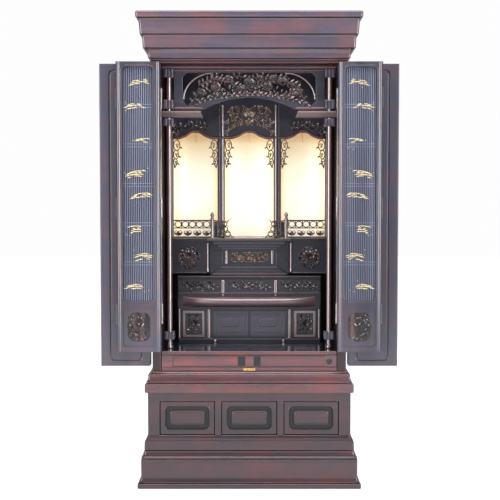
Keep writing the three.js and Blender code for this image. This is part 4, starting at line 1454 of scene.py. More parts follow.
def leaf_plan(p: Place, edge: float, heel: float, fold: float) -> list[Pair]:
    """A leaf's plan, its corners cut for the hinges.

    Args:
        p: The leaf's box.
        edge: The cut of the plain corners.
        heel: The cut of the back corner away from the hinge.
        fold: The cut of the back corner at the hinge.

    Returns:
        The plan's points.
    """
    return [(p.x0 + edge, p.y0), (p.x1 - edge, p.y0), (p.x1, p.y0 + edge), (p.x1, p.y1 - fold),
            (p.x1 - fold, p.y1), (p.x0 + heel, p.y1), (p.x0, p.y1 - heel), (p.x0, p.y0 + edge)]


@dataclass
class LatticeLeaf:
    """A lattice door leaf: a frame round the lattice, over a sunk panel with an oval carving."""

    stile: float = 19.5
    top: float = 16.0
    rail: float = 576.5
    corner: float = 13.0
    sunk: Pair = (437.2, 560.0)
    deep: float = 4.0
    fold_plane: float = -242.3
    bow: float = 2.5
    bow_steps: int = 12
    medallion: Pair = (35, 44)

    def frame(self, p: Place) -> Piece:
        """The frame with its opening, rabbet and sunk panel, and a rounded bead along each stile.

        Args:
            p: The leaf's box.

        Returns:
            The frame.
        """
        board = Bench.prism(leaf_plan(p, 2.4, 3.2, 4.3), (p.z0, p.z1), 2)
        x = (p.x0 + self.stile, p.x1 - self.stile)
        z = (self.rail, p.z1 - self.top)
        opening = Bench.slab(x, z, (p.y0 - 2, p.y1 + 2), self.corner)
        rabbet = Bench.block((x[0] - 4, x[1] + 4), (p.y1 - 10, p.y1 + 2), (z[0] - 4, z[1] + 4))
        sinking = Bench.slab((x[0] - 1, x[1] + 1), self.sunk, (p.y0 - 2, p.y0 + self.deep), 9.0)
        Bench.cut(board, opening, rabbet, sinking)
        Bench.ease(board, 1.2, 3, 40.0)
        bead = Bench.ring((x[0] - 5.5, x[1] + 5.5), (z[0] - 5.5, z[1] + 5.5), (p.y0 - 1.6, p.y0 + 1),
                          self.corner + 4, 4.6)
        parts = [board, Bench.ease(bead, 1.2, 3)]
        for x0, x1 in ((p.x0 + 1.6, x[0] - 6.2), (x[1] + 6.2, p.x1 - 1.6)):
            shares = [step / self.bow_steps for step in range(self.bow_steps + 1)]
            bow = [(x0 + (x1 - x0) * t, p.y0 + 0.6 - self.bow * math.sin(t * math.pi)) for t in shares]
            parts.append(Bench.smooth(Bench.prism(bow, (p.z0 + 2, p.z1 - 2), 2)))
        return Bench.join(parts, "leaf_frame")

    def carving(self, p: Place) -> Piece:
        """A blossom among curling leaves in an oval rim.

        Args:
            p: The leaf's box.

        Returns:
            The carving.
        """
        x, z = p.middle[0], sum(self.sunk) / 2
        wide, tall = self.medallion
        face = p.y0 + self.deep
        carver = Carver("leaf_medallion", face - 0.4)
        ground = Bench.slab((x - wide, x + wide), (z - tall, z + tall), (face - 1.0, face + 0.6), 22.0, 8)
        Bench.ease(ground, 0.6, 2)
        carver.loop(x, z, wide, tall, 40, 1.5, 0.8)
        carver.blossom(x - 3, z + 13, 16, 6, -1.2)
        carver.blossom(x + 12, z - 17, 11, 5, -0.6)
        for dx, dz, radius, start, hand in ((-17, -8, 10, 0.6, -1), (18, 22, 8, 4.0, 1), (-6, -28, 9, 1.4, 1),
                                            (20, 2, 7, 2.6, -1)):
            carver.scroll(x + dx, z + dz, radius, start, 1.2, 1.2, hand, 0.3)
        for k in range(4):
            carver.spray(oval(x, z, 25, 34, k * math.pi / 2 + 0.3, 1.5), 7, 13, 6.5, 0.9, 11 + k, -0.6)
        carver.stem([(x - 22, z - 33), (x - 9, z - 16), (x - 2, z + 4), (x - 3, z + 13)], 1.6, 1.0, out=0.8)
        return carver.done(ground)

    def build(self, shop: Workshop) -> None:
        """Builds the right folding leaf, and turns it over for the hinged leaf behind it.

        Args:
            shop: The workshop that places them.
        """
        p = Place.of("lattice_door_folding_leaf_right")
        frame, carving = self.frame(p), self.carving(p)
        node = "lattice_door_{}_leaf"
        shop.place_leaves("lattice_frame", frame, DOOR_REFLECTED_WOOD, node, self.fold_plane, "door_wood")
        shop.place_leaves("lattice_medallion", carving, CARVED_WOOD_WITH_GLINTS, node, self.fold_plane, "carved_wood",
                          trim=True)


@dataclass
class Lattice:
    """A lattice of fine uprights and paired bars on silk gauze, with gilded cloud bands."""

    pitch: float = 5.6
    slat: float = 1.9
    pairs: int = 6
    bar: float = 0.9
    bar_shift: float = 4.5
    clouds: int = 8
    humps: int = 4
    fold_plane: float = -242.3

    def slats(self, p: Place) -> Piece:
        """The uprights and the bars.

        Args:
            p: The lattice's box.

        Returns:
            The slats.
        """
        count = int((p.x1 - p.x0 - 8) / self.pitch)
        start = (p.x0 + p.x1 - count * self.pitch) / 2
        first = Bench.bar((start - self.slat / 2, start + self.slat / 2), (p.y0, p.y1 - 1.4), (p.z0, p.z1),
                          0.5, 1)
        parts = [first]
        for i in range(1, count + 1):
            parts.append(Bench.copy(first, f"slat_{i}", Matrix.Translation((i * self.pitch * MM, 0, 0))))
        gap = (p.z1 - p.z0) / self.pairs
        for i in range(1, self.pairs):
            for shift in (-self.bar_shift, self.bar_shift):
                z = p.z0 + gap * i + shift
                parts.append(Bench.bar(p.x, (p.y0 + 1.2, p.y1 - 1.6), (z - self.bar, z + self.bar), 0.4, 1))
        return Bench.join(parts, "lattice_slats")

    def stroke(self, carver: Carver, chance: random.Random, middle: float, z: float, reach: float) -> None:
        """One row of a cloud: a few short humps, one of them left out now and then.

        Args:
            carver: The carving it belongs to.
            chance: The clouds' random draws.
            middle: The row's middle.
            z: Its height.
            reach: Its width.
        """
        share = reach / self.humps
        for k in range(self.humps):
            if chance.random() < 0.12:
                continue
            off = k - (self.humps - 1) / 2
            lift = 3.0 - 1.5 * abs(off) + chance.uniform(-0.8, 0.8)
            carver.cutting(LEAF, middle - reach / 2 + share * (k - 0.1), z + lift, share * 1.3,
                           chance.uniform(2.2, 3.2), math.pi / 2 + off * 0.16, 0.3)

    def gilding(self, p: Place) -> Piece:
        """Drifts of short gilded strokes, now on one side and now on the other.

        Args:
            p: The lattice's box.

        Returns:
            The drifts.
        """
        chance = random.Random(7)
        carver = Carver("lattice_clouds", p.y0 - 0.2)
        step = (p.z1 - p.z0 - 90) / (self.clouds - 1)
        for i in range(self.clouds):
            z = p.z1 - 48 - i * step + chance.uniform(-16, 16)
            side = 1 if i % 2 else -1
            middle = (p.x0 + p.x1) / 2 + side * chance.uniform(6, 15)
            size = chance.choice((0.6, 0.85, 1.0))
            for row in range(chance.choice((3, 4))):
                reach = chance.uniform(44, 76) * size
                x = middle + chance.uniform(-9, 9)
                left, right = max(x - reach / 2, p.x0 + 7), min(x + reach / 2, p.x1 - 7)
                self.stroke(carver, chance, (left + right) / 2, z + 9 - row * 5.4, right - left)
            for _ in range(3):
                carver.cutting(BEAD, middle + chance.uniform(-38, 34), z + chance.uniform(-22, 24),
                               2.4, 2.0, 0.0, 0.4)
        return carver.done()

    def build(self, shop: Workshop) -> None:
        """Builds the four lattices.

        Args:
            shop: The workshop that places them.
        """
        p = Place.of("folding_leaf_lattice_right")
        gauze = Bench.bar(p.x, (p.y1 - 1.3, p.y1 - 0.2), (p.z0, p.z1), 0.3, 1)
        slats, clouds = self.slats(p), self.gilding(p)
        for name, part, kind in (("lattice_slats", slats, LATTICE_WOOD), ("lattice_gauze", gauze, GAUZE),
                                 ("lattice_clouds", clouds, GILDING)):
            shop.place_leaves(name, part, kind, "{}_leaf_lattice", self.fold_plane, "door_lattice",
                              trim=part is not slats)


@dataclass
class OuterLeaf:
    """A plain outer leaf with a sunk line round a broad field on both faces."""

    margins: tuple[float, float, float, float] = (23.0, 29.0, 16.0, 18.0)
    fold_plane: float = -196.0

    def build(self, shop: Workshop) -> None:
        """Builds the right hinged leaf, and turns it over for the folding leaf behind it.

        Args:
            shop: The workshop that places them.
        """
        p = Place.of("outer_door_hinged_leaf_right")
        leaf = Bench.prism(leaf_plan(p, 1.6, 1.6, 4.3), (p.z0, p.z1), 2)
        left, right, low, high = self.margins
        x, z = (p.x0 + left, p.x1 - right), (p.z0 + low, p.z1 - high)
        for y in ((p.y0 - 2, p.y0 + 5), (p.y1 - 5, p.y1 + 2)):
            Bench.cut(leaf, Bench.ring(x, z, y, 14.0, 5.0))
        Bench.ease(leaf, 1.4, 3, 40.0)
        shop.place_leaves("outer_leaf", leaf, DOOR_REFLECTED_WOOD, "outer_door_{}_leaf", self.fold_plane, "door_wood",
                          ("hinged", "folding"))


# ------------------------------------------------------------------ pillars, beams and the transom


@dataclass
class Pillar:
    """A slim lacquered pillar with square collars and a turned foot."""

    profile: Sequence[Pair] = ((7, 419.3), (10, 420), (11, 424), (10.6, 429), (8.4, 432), (9.4, 436),
                               (8, 441), (8, 1291))
    collars: Sequence[Pair] = ((449, 475), (1116, 1139), (1169, 1197), (1266, 1292.8))
    facet_pitch: float = 9.6
    facet_half: float = 4.2

    def build(self, shop: Workshop) -> None:
        """Turns the shaft and sets the collars, each with three facets in front.

        Args:
            shop: The workshop that places them.
        """
        p = Place.of("pillar_right")
        x, y, _ = p.middle
        wide = (p.x1 - p.x0) / 2
        shaft = Bench.turned(x, y, self.profile, 28)
        collars = []
        for z0, z1 in self.collars:
            collars.append(Bench.bar((x - wide, x + wide), (y - wide, y + wide), (z0, z1), 1.4))
            for k in (-1, 0, 1):
                across = x + k * self.facet_pitch
                collars.append(Bench.bar((across - self.facet_half, across + self.facet_half),
                                         (y - wide - 1.0, y - wide + 3), (z0 + 1.2, z1 - 1.2), 1.8))
        shop.place_pair("pillar_shaft", [shaft], LACQUER, "pillar", Grain.Z)
        shop.place_pair("pillar_collars", collars, DOOR_REFLECTED_WOOD, "pillar", Grain.Z, trim=True)


@dataclass
class Beam:
    """A half-round beam whose inner end is cut on the slant."""

    slant: float = 9.0
    fullness: float = 0.7
    steps: int = 12

    def build(self, shop: Workshop) -> None:
        """Rounds the bar's front and cuts its end.

        Args:
            shop: The workshop that places it.
        """
        p = Place.of("beam_right")
        middle, tall, deep = p.middle[2], (p.z1 - p.z0) / 2, p.y1 - p.y0
        outline = [(p.y1, p.z1)]
        for i in range(1, self.steps):
            turn = math.pi / 2 - i / self.steps * math.pi
            outline.append((p.y1 - deep * math.cos(turn) ** self.fullness, middle + tall * math.sin(turn)))
        outline.append((p.y1, p.z0))
        bar = Bench.prism(outline, p.x, 0)
        wedge = Bench.prism([(p.x0 - 20, p.z0 - 2), (p.x0 - 1, p.z0 - 2), (p.x0 + self.slant, p.z1 + 2),
                             (p.x0 - 20, p.z1 + 2)], (p.y0 - 5, p.y1 + 5))
        Bench.ease(Bench.cut(bar, wedge), 0.8, 2, 34.0)
        shop.place_pair("beam_bar", [bar], BEAM_WOOD, "beam")


@dataclass
class Transom:
    """The transom board with its octagonal window, and the openwork carving in it."""

    half: float = 234.4
    top: float = 1293.2
    faces: Pair = (-177.0, -167.0)
    window: float = 207.0
    low: float = 1180.0
    high: float = 1282.2
    corner: float = 14.0
    rise: float = 33.0
    blossoms: Sequence[Point] = ((0, 1250, 20), (-62, 1262, 14), (-104, 1238, 18), (56, 1240, 17),
                                 (104, 1256, 16), (-148, 1222, 13), (146, 1224, 14), (-30, 1232, 12),
                                 (32, 1266, 11))

    def opening(self) -> list[Pair]:
        """The window's outline, an octagon with an arched foot.

        Returns:
            The outline's points.
        """
        wide, c, low, high = self.window, self.corner, self.low, self.high
        upper = [(wide - c, low), (wide, low + c), (wide, high - c), (wide - c, high), (-wide + c, high),
                 (-wide, high - c), (-wide, low + c), (-wide + c, low)]
        return upper + points_on(arc(180.0, low, self.rise), 25)

    def board(self, p: Place) -> list[Piece]:
        """The board with its window and its arched foot, and the head rail.

        Args:
            p: The frame's box.

        Returns:
            The board and the rail.
        """
        front, back = self.faces
        arch = points_on(arc(142.0, p.z0, 37.0), 25)
        board = Bench.prism([(self.half, p.z0), (self.half, self.top), (-self.half, self.top),
                             (-self.half, p.z0), *arch], self.faces)
        Bench.cut(board, Bench.prism(self.opening(), (front - 5, back + 5)))
        head = Bench.bar(p.x, (p.y0, p.y1), (1293.1, 1304.4), 2.6, 4)
        return [Bench.ease(board, 1.3, 3, 34.0), head]

    def rails(self, p: Place) -> list[Piece]:
        """The beads along the head and at the foot of the board, in a lighter, redder wood that paints
        highlight lines along those edges.

        Args:
            p: The frame's box.

        Returns:
            The beads.
        """
        parts = [Bench.bar(p.x, (p.y0 - 1, p.y0 + 3), (1295.2, 1300.8), 2.4, 4),
                 Bench.bar((-self.half, self.half), (-179.4, -174), (1286.6, 1291.6), 2.0, 4)]
        for side in (-1, 1):
            parts.append(Bench.bar((side * 146, side * self.half), (-180, -175),
                                   (p.z0 + 0.4, p.z0 + 6.5), 2.2, 4))
        return parts

    def carving(self) -> Piece:
        """Blossoms and leaves between two curved rods, over a garland along the lower arch.

        Returns:
            The carving.
        """
        carver = Carver("transom_blossoms", Place.of("transom_carving").middle[1])
        for s in (-1, 1):
            side = lambda t, s=s: (s * (180 - 50 * t), self.low + 8 + 52 * math.sin(t * math.pi / 2))
            carver.stem(points_on(side, 8), 2.0, 1.4)
            carver.spray(side, 9, 14, 6.5, 1.0, 21 + s, 1.2)
        for path, count, thick, out, leaves in (
                (arc(187.0, self.low + 4, self.rise), 24, 2.2, 1.0, (46, 15, 7.5, 0.55, 5, 2.4)),
                (vine(0, 318, 1243, (15, 3.2, 0), (8, 1, 0)), 40, 2.6, 0.5, (52, 17, 8, 1.0, 9, 1.4)),
                (vine(0, 246, 1268, (5, 7, 0)), 24, 1.8, 0.0, (34, 13, 6.5, 1.2, 13, 1.0))):
            carver.stem(points_on(path, count), thick, out=out)
            carver.spray(path, *leaves)
        carver.spray(vine(0, 276, 1216, (17, 1, 0), (5, 9, -0.5)), 38, 14, 6.5, 1.3, 17, 0.8)
        for x, z, radius in self.blossoms:
            carver.blossom(x, z, radius, 6, 2.2)
        for k in range(15):
            x = -154 + k * 22
            z = 1224 + 26 * math.sin(k * 1.9) + 12 * (1 - (x / 160) ** 2)
            carver.scroll(x, z, 8.5, k * 1.7, 1.3, 1.3, 1 if k % 2 else -1, 0.4)
        return carver.done()

    def build(self, shop: Workshop) -> None:
        """Builds the board, the carving and the two rods.

        Args:
            shop: The workshop that places them.
        """
        p = Place.of("transom_frame")
        shop.place("transom_work", self.board(p), FRAME_WOOD, "transom_frame")
        # The rails' lighter wood is painted highlight along the board's head and foot.
        shop.place("transom_rails", self.rails(p), SILL_WOOD, "transom_frame", trim=True)
        shop.place("transom_blossoms", [self.carving()], CARVED_WOOD_WITH_GLINTS, "transom_carving")
        rods = Carver("transom_rods", -172.5)
        for s in (-1, 1):
            bow = oval(s * 112, 1200, s * 92, 81, math.pi / 2, -math.pi / 2)
            rods.stem(points_on(bow, 20), 2.6, out=3.0)
        shop.place("transom_rods", [rods.done()], LACQUER, "transom_carving", trim=True)


# ------------------------------------------------------------------ arched screens and niches


@dataclass(frozen=True)
class Curl:
    """A scroll with a few leaves round it."""

    turns: float
    thick: float
    out: float
    leaves: int
    step: float
    reach: float
    length: float
    width: float
    lean: float
    leaf_thick: float
    lift: float
    leaf_out: float

    def cut(self, carver: Carver, side: int, x: float, z: float, radius: float, start: float,
            hand: int) -> None:
        """Cuts the scroll and its leaves.

        Args:
            carver: The carving it belongs to.
            side: 1 as given, -1 mirrored to the left.
            x: Its middle's X.
            z: Its middle's Z.
            radius: Its radius.
            start: Where it starts, in radians clockwise from up.
            hand: 1 winds clockwise, -1 the other way.
        """
        carver.scroll(side * x, z, radius, side * start, self.turns, self.thick, side * hand, self.out)
        for k in range(self.leaves):
            heading = side * (start + k * self.step)
            foot_x, foot_z = oval(side * x, z, radius * self.reach, radius * self.reach)(heading / FULL_TURN)
            carver.cutting(LEAF, foot_x, foot_z, self.length, self.width, heading + side * self.lean,
                           self.leaf_thick, self.lift, self.leaf_out)


@dataclass
class ArchedScreens:
    """Three screens with cusped arches, carved over and beside each niche."""

    spring: float = 1092.0
    apex: float = 1114.0
    top: float = 1304.4
    foot: float = 1078.0
    post_foot: float = 762.4
    face: float = 27.0
    thick: float = 10.0
    niche: float = 180.0
    half_side: float = 73.0
    half: float = 80.0
    column: float = 89.3
    column_profile: Sequence[Pair] = ((5, 764), (5.2, 768), (4.3, 774), (4.3, 1198), (5.2, 1202), (4.8, 1206))
    crest_lift: float = 5.5
    arabesque: Curl = Curl(1.35, 1.5, 0.6, 3, 2.1, 0.7, 10, 5.0, 0.9, 1.3, 0.3, 0.8)
    arabesque_curls: Sequence[tuple[float, ...]] = (
        (17, 1150, 12, 3.4, 1), (40, 1143, 13, 4.2, 1), (62, 1132, 12, 4.4, 1), (30, 1172, 13, 5.0, -1),
        (54, 1163, 12, 0.4, -1), (14, 1192, 11, 2.2, 1), (38, 1193, 11, 1.0, -1), (60, 1186, 10, 5.6, 1),
        (74, 1150, 8, 1.2, 1), (76, 1116, 8, 3.0, -1))
    bracket: Curl = Curl(1.3, 1.7, 1.2, 4, 1.6, 0.5, 13, 6.4, 0.8, 1.8, 0.45, 1.6)
    bracket_curls: Sequence[tuple[float, ...]] = (
        (148, 1134, 10, 1.2, 1), (166, 1137, 9, 4.0, -1), (184, 1141, 9, 0.3, 1), (202, 1138, 10, 2.6, -1),
        (221, 1135, 11, 5.0, 1), (241, 1130, 12, 1.8, -1), (257, 1140, 9, 0.8, 1), (258, 1118, 10, 3.4, 1),
        (243, 1112, 8, 5.4, -1), (262, 1101, 8, 2.2, -1))

    def arch(self, centre: float, half: float, lift: float = 0.0) -> list[Pair]:
        """The cusped arch from left to right.

        Args:
            centre: The niche's middle.
            half: Half the niche's width.
            lift: How far it is moved up.

        Returns:
            The arch's points.
        """
        points = []
        for i in range(33):
            t = i / 32 * 2 - 1
            u = abs(t)
            rise = 0.0 if u > 0.76 else 0.5 + 0.5 * math.cos(u / 0.76 * math.pi)
            cusp = 1.6 * abs(math.sin(u * 2.5 * math.pi))
            points.append((centre + half * t, self.spring + lift + (self.apex - self.spring) * rise + cusp))
        return points

    def board(self, centre: float, half: float, x: Pair, posts: Sequence[Pair]) -> list[Piece]:
        """A board with its arch cut out, and its posts.

        Args:
            centre: The niche's middle.
            half: Half the niche's width.
            x: The board's reach along X.
            posts: Each post's reach along X.

        Returns:
            The board and the posts.
        """
        y = (self.face, self.face + self.thick)
        outline = [(x[1], self.foot), (x[1], self.top), (x[0], self.top), (x[0], self.foot),
                   (centre - half, self.foot), *self.arch(centre, half), (centre + half, self.foot)]
        board = Bench.ease(Bench.prism(outline, y), 0.6, 2, 40.0)
        return [board, *(Bench.bar(post, y, (self.post_foot, self.foot + 1), 1.8) for post in posts)]

    def mouldings(self, name: str, centre: float, half: float, levels: Sequence[Pair], out: float) -> Piece:
        """The rounded moulding that follows the arch, and the level ones beside it.

        Args:
            name: Its name.
            centre: The niche's middle.
            half: Half the niche's width.
            levels: Where each level moulding starts and ends.
            out: How far the level ones stand out.

        Returns:
            The mouldings.
        """
        carver = Carver(name, self.face - 1)
        line = self.arch(centre, half, self.crest_lift)
        carver.stem(line, 4.4, out=-0.4)
        carver.stem([(x, z - 5.2) for x, z in line], 1.3, out=-0.4)
        level = self.spring + self.crest_lift
        for x0, x1 in levels:
            carver.stem([(x0, level), (x1, level)], 4.0, out=out)
        return carver.done()

    def pendant(self, carver: Carver, x: float, side: int) -> None:
        """Three openwork loops in a chain, growing smaller as they hang down.

        Args:
            carver: The carving it belongs to.
            x: Where its post stands.
            side: Which side of the niche that is.
        """
        z = self.spring - 2
        for tall, wide in ((36, 21), (30, 16), (24, 12)):
            cx = x - side * wide * 0.5
            carver.loop(cx, z - tall / 2, wide / 2, tall / 2, 12, 1.7, -3.5)
            carver.scroll(cx - side * wide * 0.12, z - tall * 0.42, wide * 0.3, 1.0, 1.1, 1.2, side, -3.2)
            carver.cutting(LEAF, cx - side * wide * 0.45, z - tall * 0.62, 11, 5.5, -side * 2.2, 1.3, 0.2,
                           -3.0)
            carver.cutting(LEAF, cx, z - tall * 0.5, 10, 5, math.pi + side * 0.3, 1.3, 0.2, -3.0)
            z -= tall - 2
        carver.cutting(LEAF, x - side * 4, z + 3, 14, 7, math.pi, 1.3, 0.0, -3.0)

    def centre(self, shop: Workshop) -> None:
        """The middle screen with a gilt-touched arabesque over its arch.

        Args:
            shop: The workshop that places it.
        """
        node = "screen_centre"
        edge = self.column + 9
        parts = self.board(0.0, self.half, (-edge, edge),
                           ((-edge, -self.half - 1.5), (self.half + 1.5, edge)))
        shop.place("centre_screen", parts, FRAME_WOOD, node, Grain.Z)
        levels = [(s * self.half, s * (edge + 1)) for s in (-1, 1)]
        # The crest mouldings take the lighter sill wood, painted light against the shade under the transom.
        rods = self.mouldings("centre_mouldings", 0.0, self.half, levels, 3.0)
        shop.place("centre_mouldings", [rods], SILL_WOOD, node, trim=True)
        columns = [Bench.turned(s * self.column, self.face - 0.4, self.column_profile) for s in (-1, 1)]
        shop.place("centre_columns", columns, LACQUER, node, Grain.Z, trim=True)
        carver = Carver("centre_arabesque", self.face + 0.4)
        for s in (-1, 1):
            for curl in self.arabesque_curls:
                self.arabesque.cut(carver, s, *curl)
        for k in range(9):
            spread = (k - 4) * 0.42
            carver.cutting(PETAL, 0, 1170, 20, 9, spread, 1.4, 0.3, 1.0)
            carver.cutting(PETAL, 0, 1152, 15, 8, math.pi + spread, 1.4, 0.3, 1.0)
        carver.bead(0, 1160, 9, 2.4, 1.6)
        shop.place("centre_arabesque", [carver.done()], GILT_WOOD, node, trim=True)
        hang = Carver("centre_pendants", self.face)
        for s in (-1, 1):
            self.pendant(hang, s * self.half, s)
        shop.place("centre_pendants", [hang.done()], CARVED_WOOD_WITH_GLINTS, node, trim=True)

    def side(self, shop: Workshop) -> None:
        """The side screens with carved brackets over their arches.

        Args:
            shop: The workshop that places them.
        """
        x0, x1 = self.column + 9.3, 270.7
        left, right = self.niche - self.half_side, self.niche + self.half_side
        parts = self.board(self.niche, self.half_side, (x0, x1), ((x0, left - 0.5), (right + 0.5, x1)))
        parts.append(Bench.bar((right + 3, right + 9), (self.face - 3, self.face + 2), (764, 1112), 2.4, 4))
        shop.place_pair("side_screen", parts, FRAME_WOOD, "screen", Grain.Z)
        # The crest mouldings take the lighter sill wood, painted light against the shade under the transom.
        rods = self.mouldings("side_mouldings", self.niche, self.half_side,
                              ((x0 + 1, left), (right, x1 - 2)), -0.6)
        shop.place_pair("side_mouldings", [rods], SILL_WOOD, "screen", trim=True)
        carver = Carver("side_brackets", self.face + 0.2)
        for curl in self.bracket_curls:
            self.bracket.cut(carver, 1, *curl)
        for s in (-1, 1):
            self.pendant(carver, self.niche + s * self.half_side, s)
        shop.place_pair("side_brackets", [carver.done()], BRACKET_WOOD, "screen", trim=True)

    def hooks(self, shop: Workshop) -> None:
        """A thin brass lamp hook under each arch.

        Args:
            shop: The workshop that places them.
        """
        carver = Carver("lamp_hooks", self.face + 30)
        for x in (-self.niche, 0.0, self.niche):
            carver.stem([(x, self.apex + 16), (x, self.apex - 24), (x + 2, self.apex - 29),
                         (x + 5, self.apex - 28)], 0.9)
        shop.place("lamp_hooks", [carver.done()], BRASS, "niche_walls", slot="pull_brass", trim=True)

    def build(self, shop: Workshop) -> None:
        """Builds the three screens and the hooks.

        Args:
            shop: The workshop that places them.
        """
        self.centre(shop)
        self.side(shop)
        self.hooks(shop)


# ------------------------------------------------------------------ railings, table and stands


@dataclass
class Railing:
    """An openwork railing run, a newel with an onion finial, and a swept return with a pointed end."""

    post: float = 124.0
    end: float = 252.0
    face: float = 19.0
    thick: float = 2.4
    ovals: int = 5
    newel: Sequence[Pair] = ((6.4, 762.6), (6.4, 768), (5.2, 770), (5.2, 822), (6.6, 824), (6.6, 828),
                             (3.6, 831), (4.6, 833), (7, 838), (6.2, 842), (3.4, 846.5), (1.2, 849.6))
    rails: Sequence[Pair] = ((762.6, 767.5), (794, 797), (818.5, 823))
    sweeps: Sequence[tuple[Sequence[Pair], float, float]] = (
        (((119, 820), (100, 819), (80, 818), (70, 820), (62, 825), (56, 829)), 2.2, 0.7),
        (((119, 765), (90, 765), (66, 765), (52, 763.6)), 1.8, 1.0))
    loops: Sequence[tuple[float, ...]] = ((99, 808, 9, 8.5), (82, 809, 7.5, 7), (96, 788, 8, 9),
                                          (80, 792, 8, 7.5), (72, 775, 9, 7), (92, 773, 8, 6))
    tendrils: Sequence[tuple[Sequence[Pair], float, float]] = (
        (((70, 818), (76, 812), (74, 803), (66, 799)), 1.9, 0.8),
        (((76, 786), (70, 786), (62, 781)), 1.9, 0.8), (((64, 772), (58, 768), (52, 764)), 1.9, 1.0),
        (((105, 766), (105, 819)), 1.8, 1.8))

    def run(self, carver: Carver) -> None:
        """The run's ovals and posts, over paired scrolls with leaves.

        Args:
            carver: The carving it belongs to.
        """
        start = self.post + 5
        pitch = (self.end - start - 4) / self.ovals
        for i in range(self.ovals):
            cx = start + 2 + pitch * (i + 0.5)
            carver.loop(cx, 808, pitch / 2 - 1.6, 10, 14, 1.5)
            carver.stem([(cx - pitch / 2, 797), (cx - pitch / 2, 819)], 1.6)
            carver.bead(cx + pitch / 2, 808, 5, 1.8)
        for i in range(4):
            cx = start + 14 + i * (self.end - start - 28) / 3
            carver.scroll(cx - 6, 781, 10, 1.6, 1.2, 1.4, 1)
            carver.scroll(cx + 6, 781, 9, 4.7, 1.2, 1.4, -1)
            for k in (-1, 0, 1):
                carver.cutting(LEAF, cx, 769, 17, 7, k * 0.8, 1.3, 0.2)

    def build(self, shop: Workshop) -> None:
        """Builds the right railing and its copy.

        Args:
            shop: The workshop that places them.
        """
        y = (self.face - self.thick, self.face + self.thick)
        newel = Bench.turned(self.post, self.face, self.newel, angle=40)
        shop.place_pair("railing_newel", [newel], LACQUER, "railing", Grain.Z)
        carver = Carver("railing_work", self.face)
        rails = [Bench.bar((self.post + 5, self.end), (y[0] - 0.8, y[1] + 0.8), z, 1.2) for z in self.rails]
        self.run(carver)
        for points, thick, tip in self.sweeps:
            carver.stem(points, thick, tip)
        for x, z, wide, tall in self.loops:
            carver.loop(x, z, wide, tall, 14, 1.8)
        for points, thick, tip in self.tendrils:
            carver.stem(points, thick, tip)
        carver.scroll(90, 798, 6, 2.0, 1.2, 1.4, 1)
        rails.append(Bench.bar((self.post - 18, self.post - 6), y, (767, 817), 0.8, 2))
        shop.place_pair("railing_work", [carver.done(*rails)], CARVED_WOOD_WITH_GLINTS, "railing", trim=True)


@dataclass
class AltarTable:
    """The altar table: moulded top and foot, a waist with square posts, and a carved cartouche."""

    waist: float = 84.0
    waist_deep: float = 1.5
    spread: float = 0.4
    front: float = 13.0
    levels: Sequence[Level] = (
        (638.4, 124, STRAIGHT), (645, 124, STRAIGHT), (646, 118, STRAIGHT), (654, 114, COVE),
        (655, 106, STRAIGHT),
        (663, 102, COVE), (664, 94, STRAIGHT), (672, 88, COVE), (673, 84, STRAIGHT), (722, 84, STRAIGHT),
        (723, 90, STRAIGHT), (731, 94, COVE), (732, 104, STRAIGHT), (739, 110, COVE), (740, 118, STRAIGHT),
        (750, 125, COVE), (751, 139, STRAIGHT), (753, 142, ROUND), (760, 142, STRAIGHT), (762, 140, ROUND))

    def cartouche(self) -> Piece:
        """A vine and blossoms in a long rim.

        Returns:
            The carving.
        """
        carver = Carver("altar_table_cartouche", self.front - 1.2)
        rim = Bench.ring((-63, 63), (681.5, 714.5), (self.front - 2.6, self.front + 1), 15.0, 3.0)
        Bench.ease(rim, 1.0, 2)
        path = vine(0, 104, 698, (6, 5, 0))
        carver.stem(points_on(path, 30), 1.5)
        carver.spray(path, 26, 13, 6.5, 1.0, 31, 0.6)
        carver.blossom(0, 698, 12, 6, 1.0)
        for s in (-1, 1):
            carver.blossom(s * 34, 697, 9, 5, 0.8)
            carver.scroll(s * 51, 698, 8, s * 1.2, 1.3, 1.3, s, 0.3)
        return carver.done(rim)

    def build(self, shop: Workshop) -> None:
        """Builds the table, its lighter lips that paint highlight lines along its mouldings, its posts and
        its carving.

        Args:
            shop: The workshop that places them.
        """
        node = "altar_table"
        p = Place.of(node)
        table = Bench.moulded(self.levels, lambda half: half,
                              lambda half: self.waist_deep + (half - self.waist) * self.spread,
                              self.front + self.waist_deep, 1.0)
        Bench.ease(table, 0.5)
        body = Bench.block((-131.5, 131.5), (12.0, p.y1), (p.z0, p.z1))
        Bench.cut(body, Bench.block((-123, 123), (25, p.y1 + 2), (p.z0 - 5, p.z1 - 9)))
        panels = [Bench.bar((s * 90, s * 128), (10.4, 13), (676, 719), 1.2, 2) for s in (-1, 1)]
        shop.place("altar_table_work", [table, body, *panels], TABLE_WOOD, node)
        # Strips of lighter wood along the mouldings' edges: painted highlight lines.
        highlight_lips = [Bench.bar((-142.2, 142.2), (p.y0 - 0.4, p.y0 + 5), (753.6, 761.8), 2.4, 4),
                Bench.bar((-118, 118), (-0.6, 4), (741.5, 746), 1.6),
                Bench.bar((-124.4, 124.4), (-3.8, 2), (638.6, 644.6), 2.0, 4)]
        shop.place("altar_table_highlight_lips", highlight_lips, BEAM_WOOD, node, trim=True)
        posts = [Bench.bar((s * 72.5, s * 81.5), (self.front - 4.5, self.front + 2), (673.4, 721.6), 3.4, 4)
                 for s in (-1, 1)]
        shop.place("altar_table_posts", posts, LACQUER, node, Grain.Z, trim=True)
        shop.place("altar_table_cartouche", [self.cartouche()], CARTOUCHE_GILT_AND_GLINTS, node, trim=True)


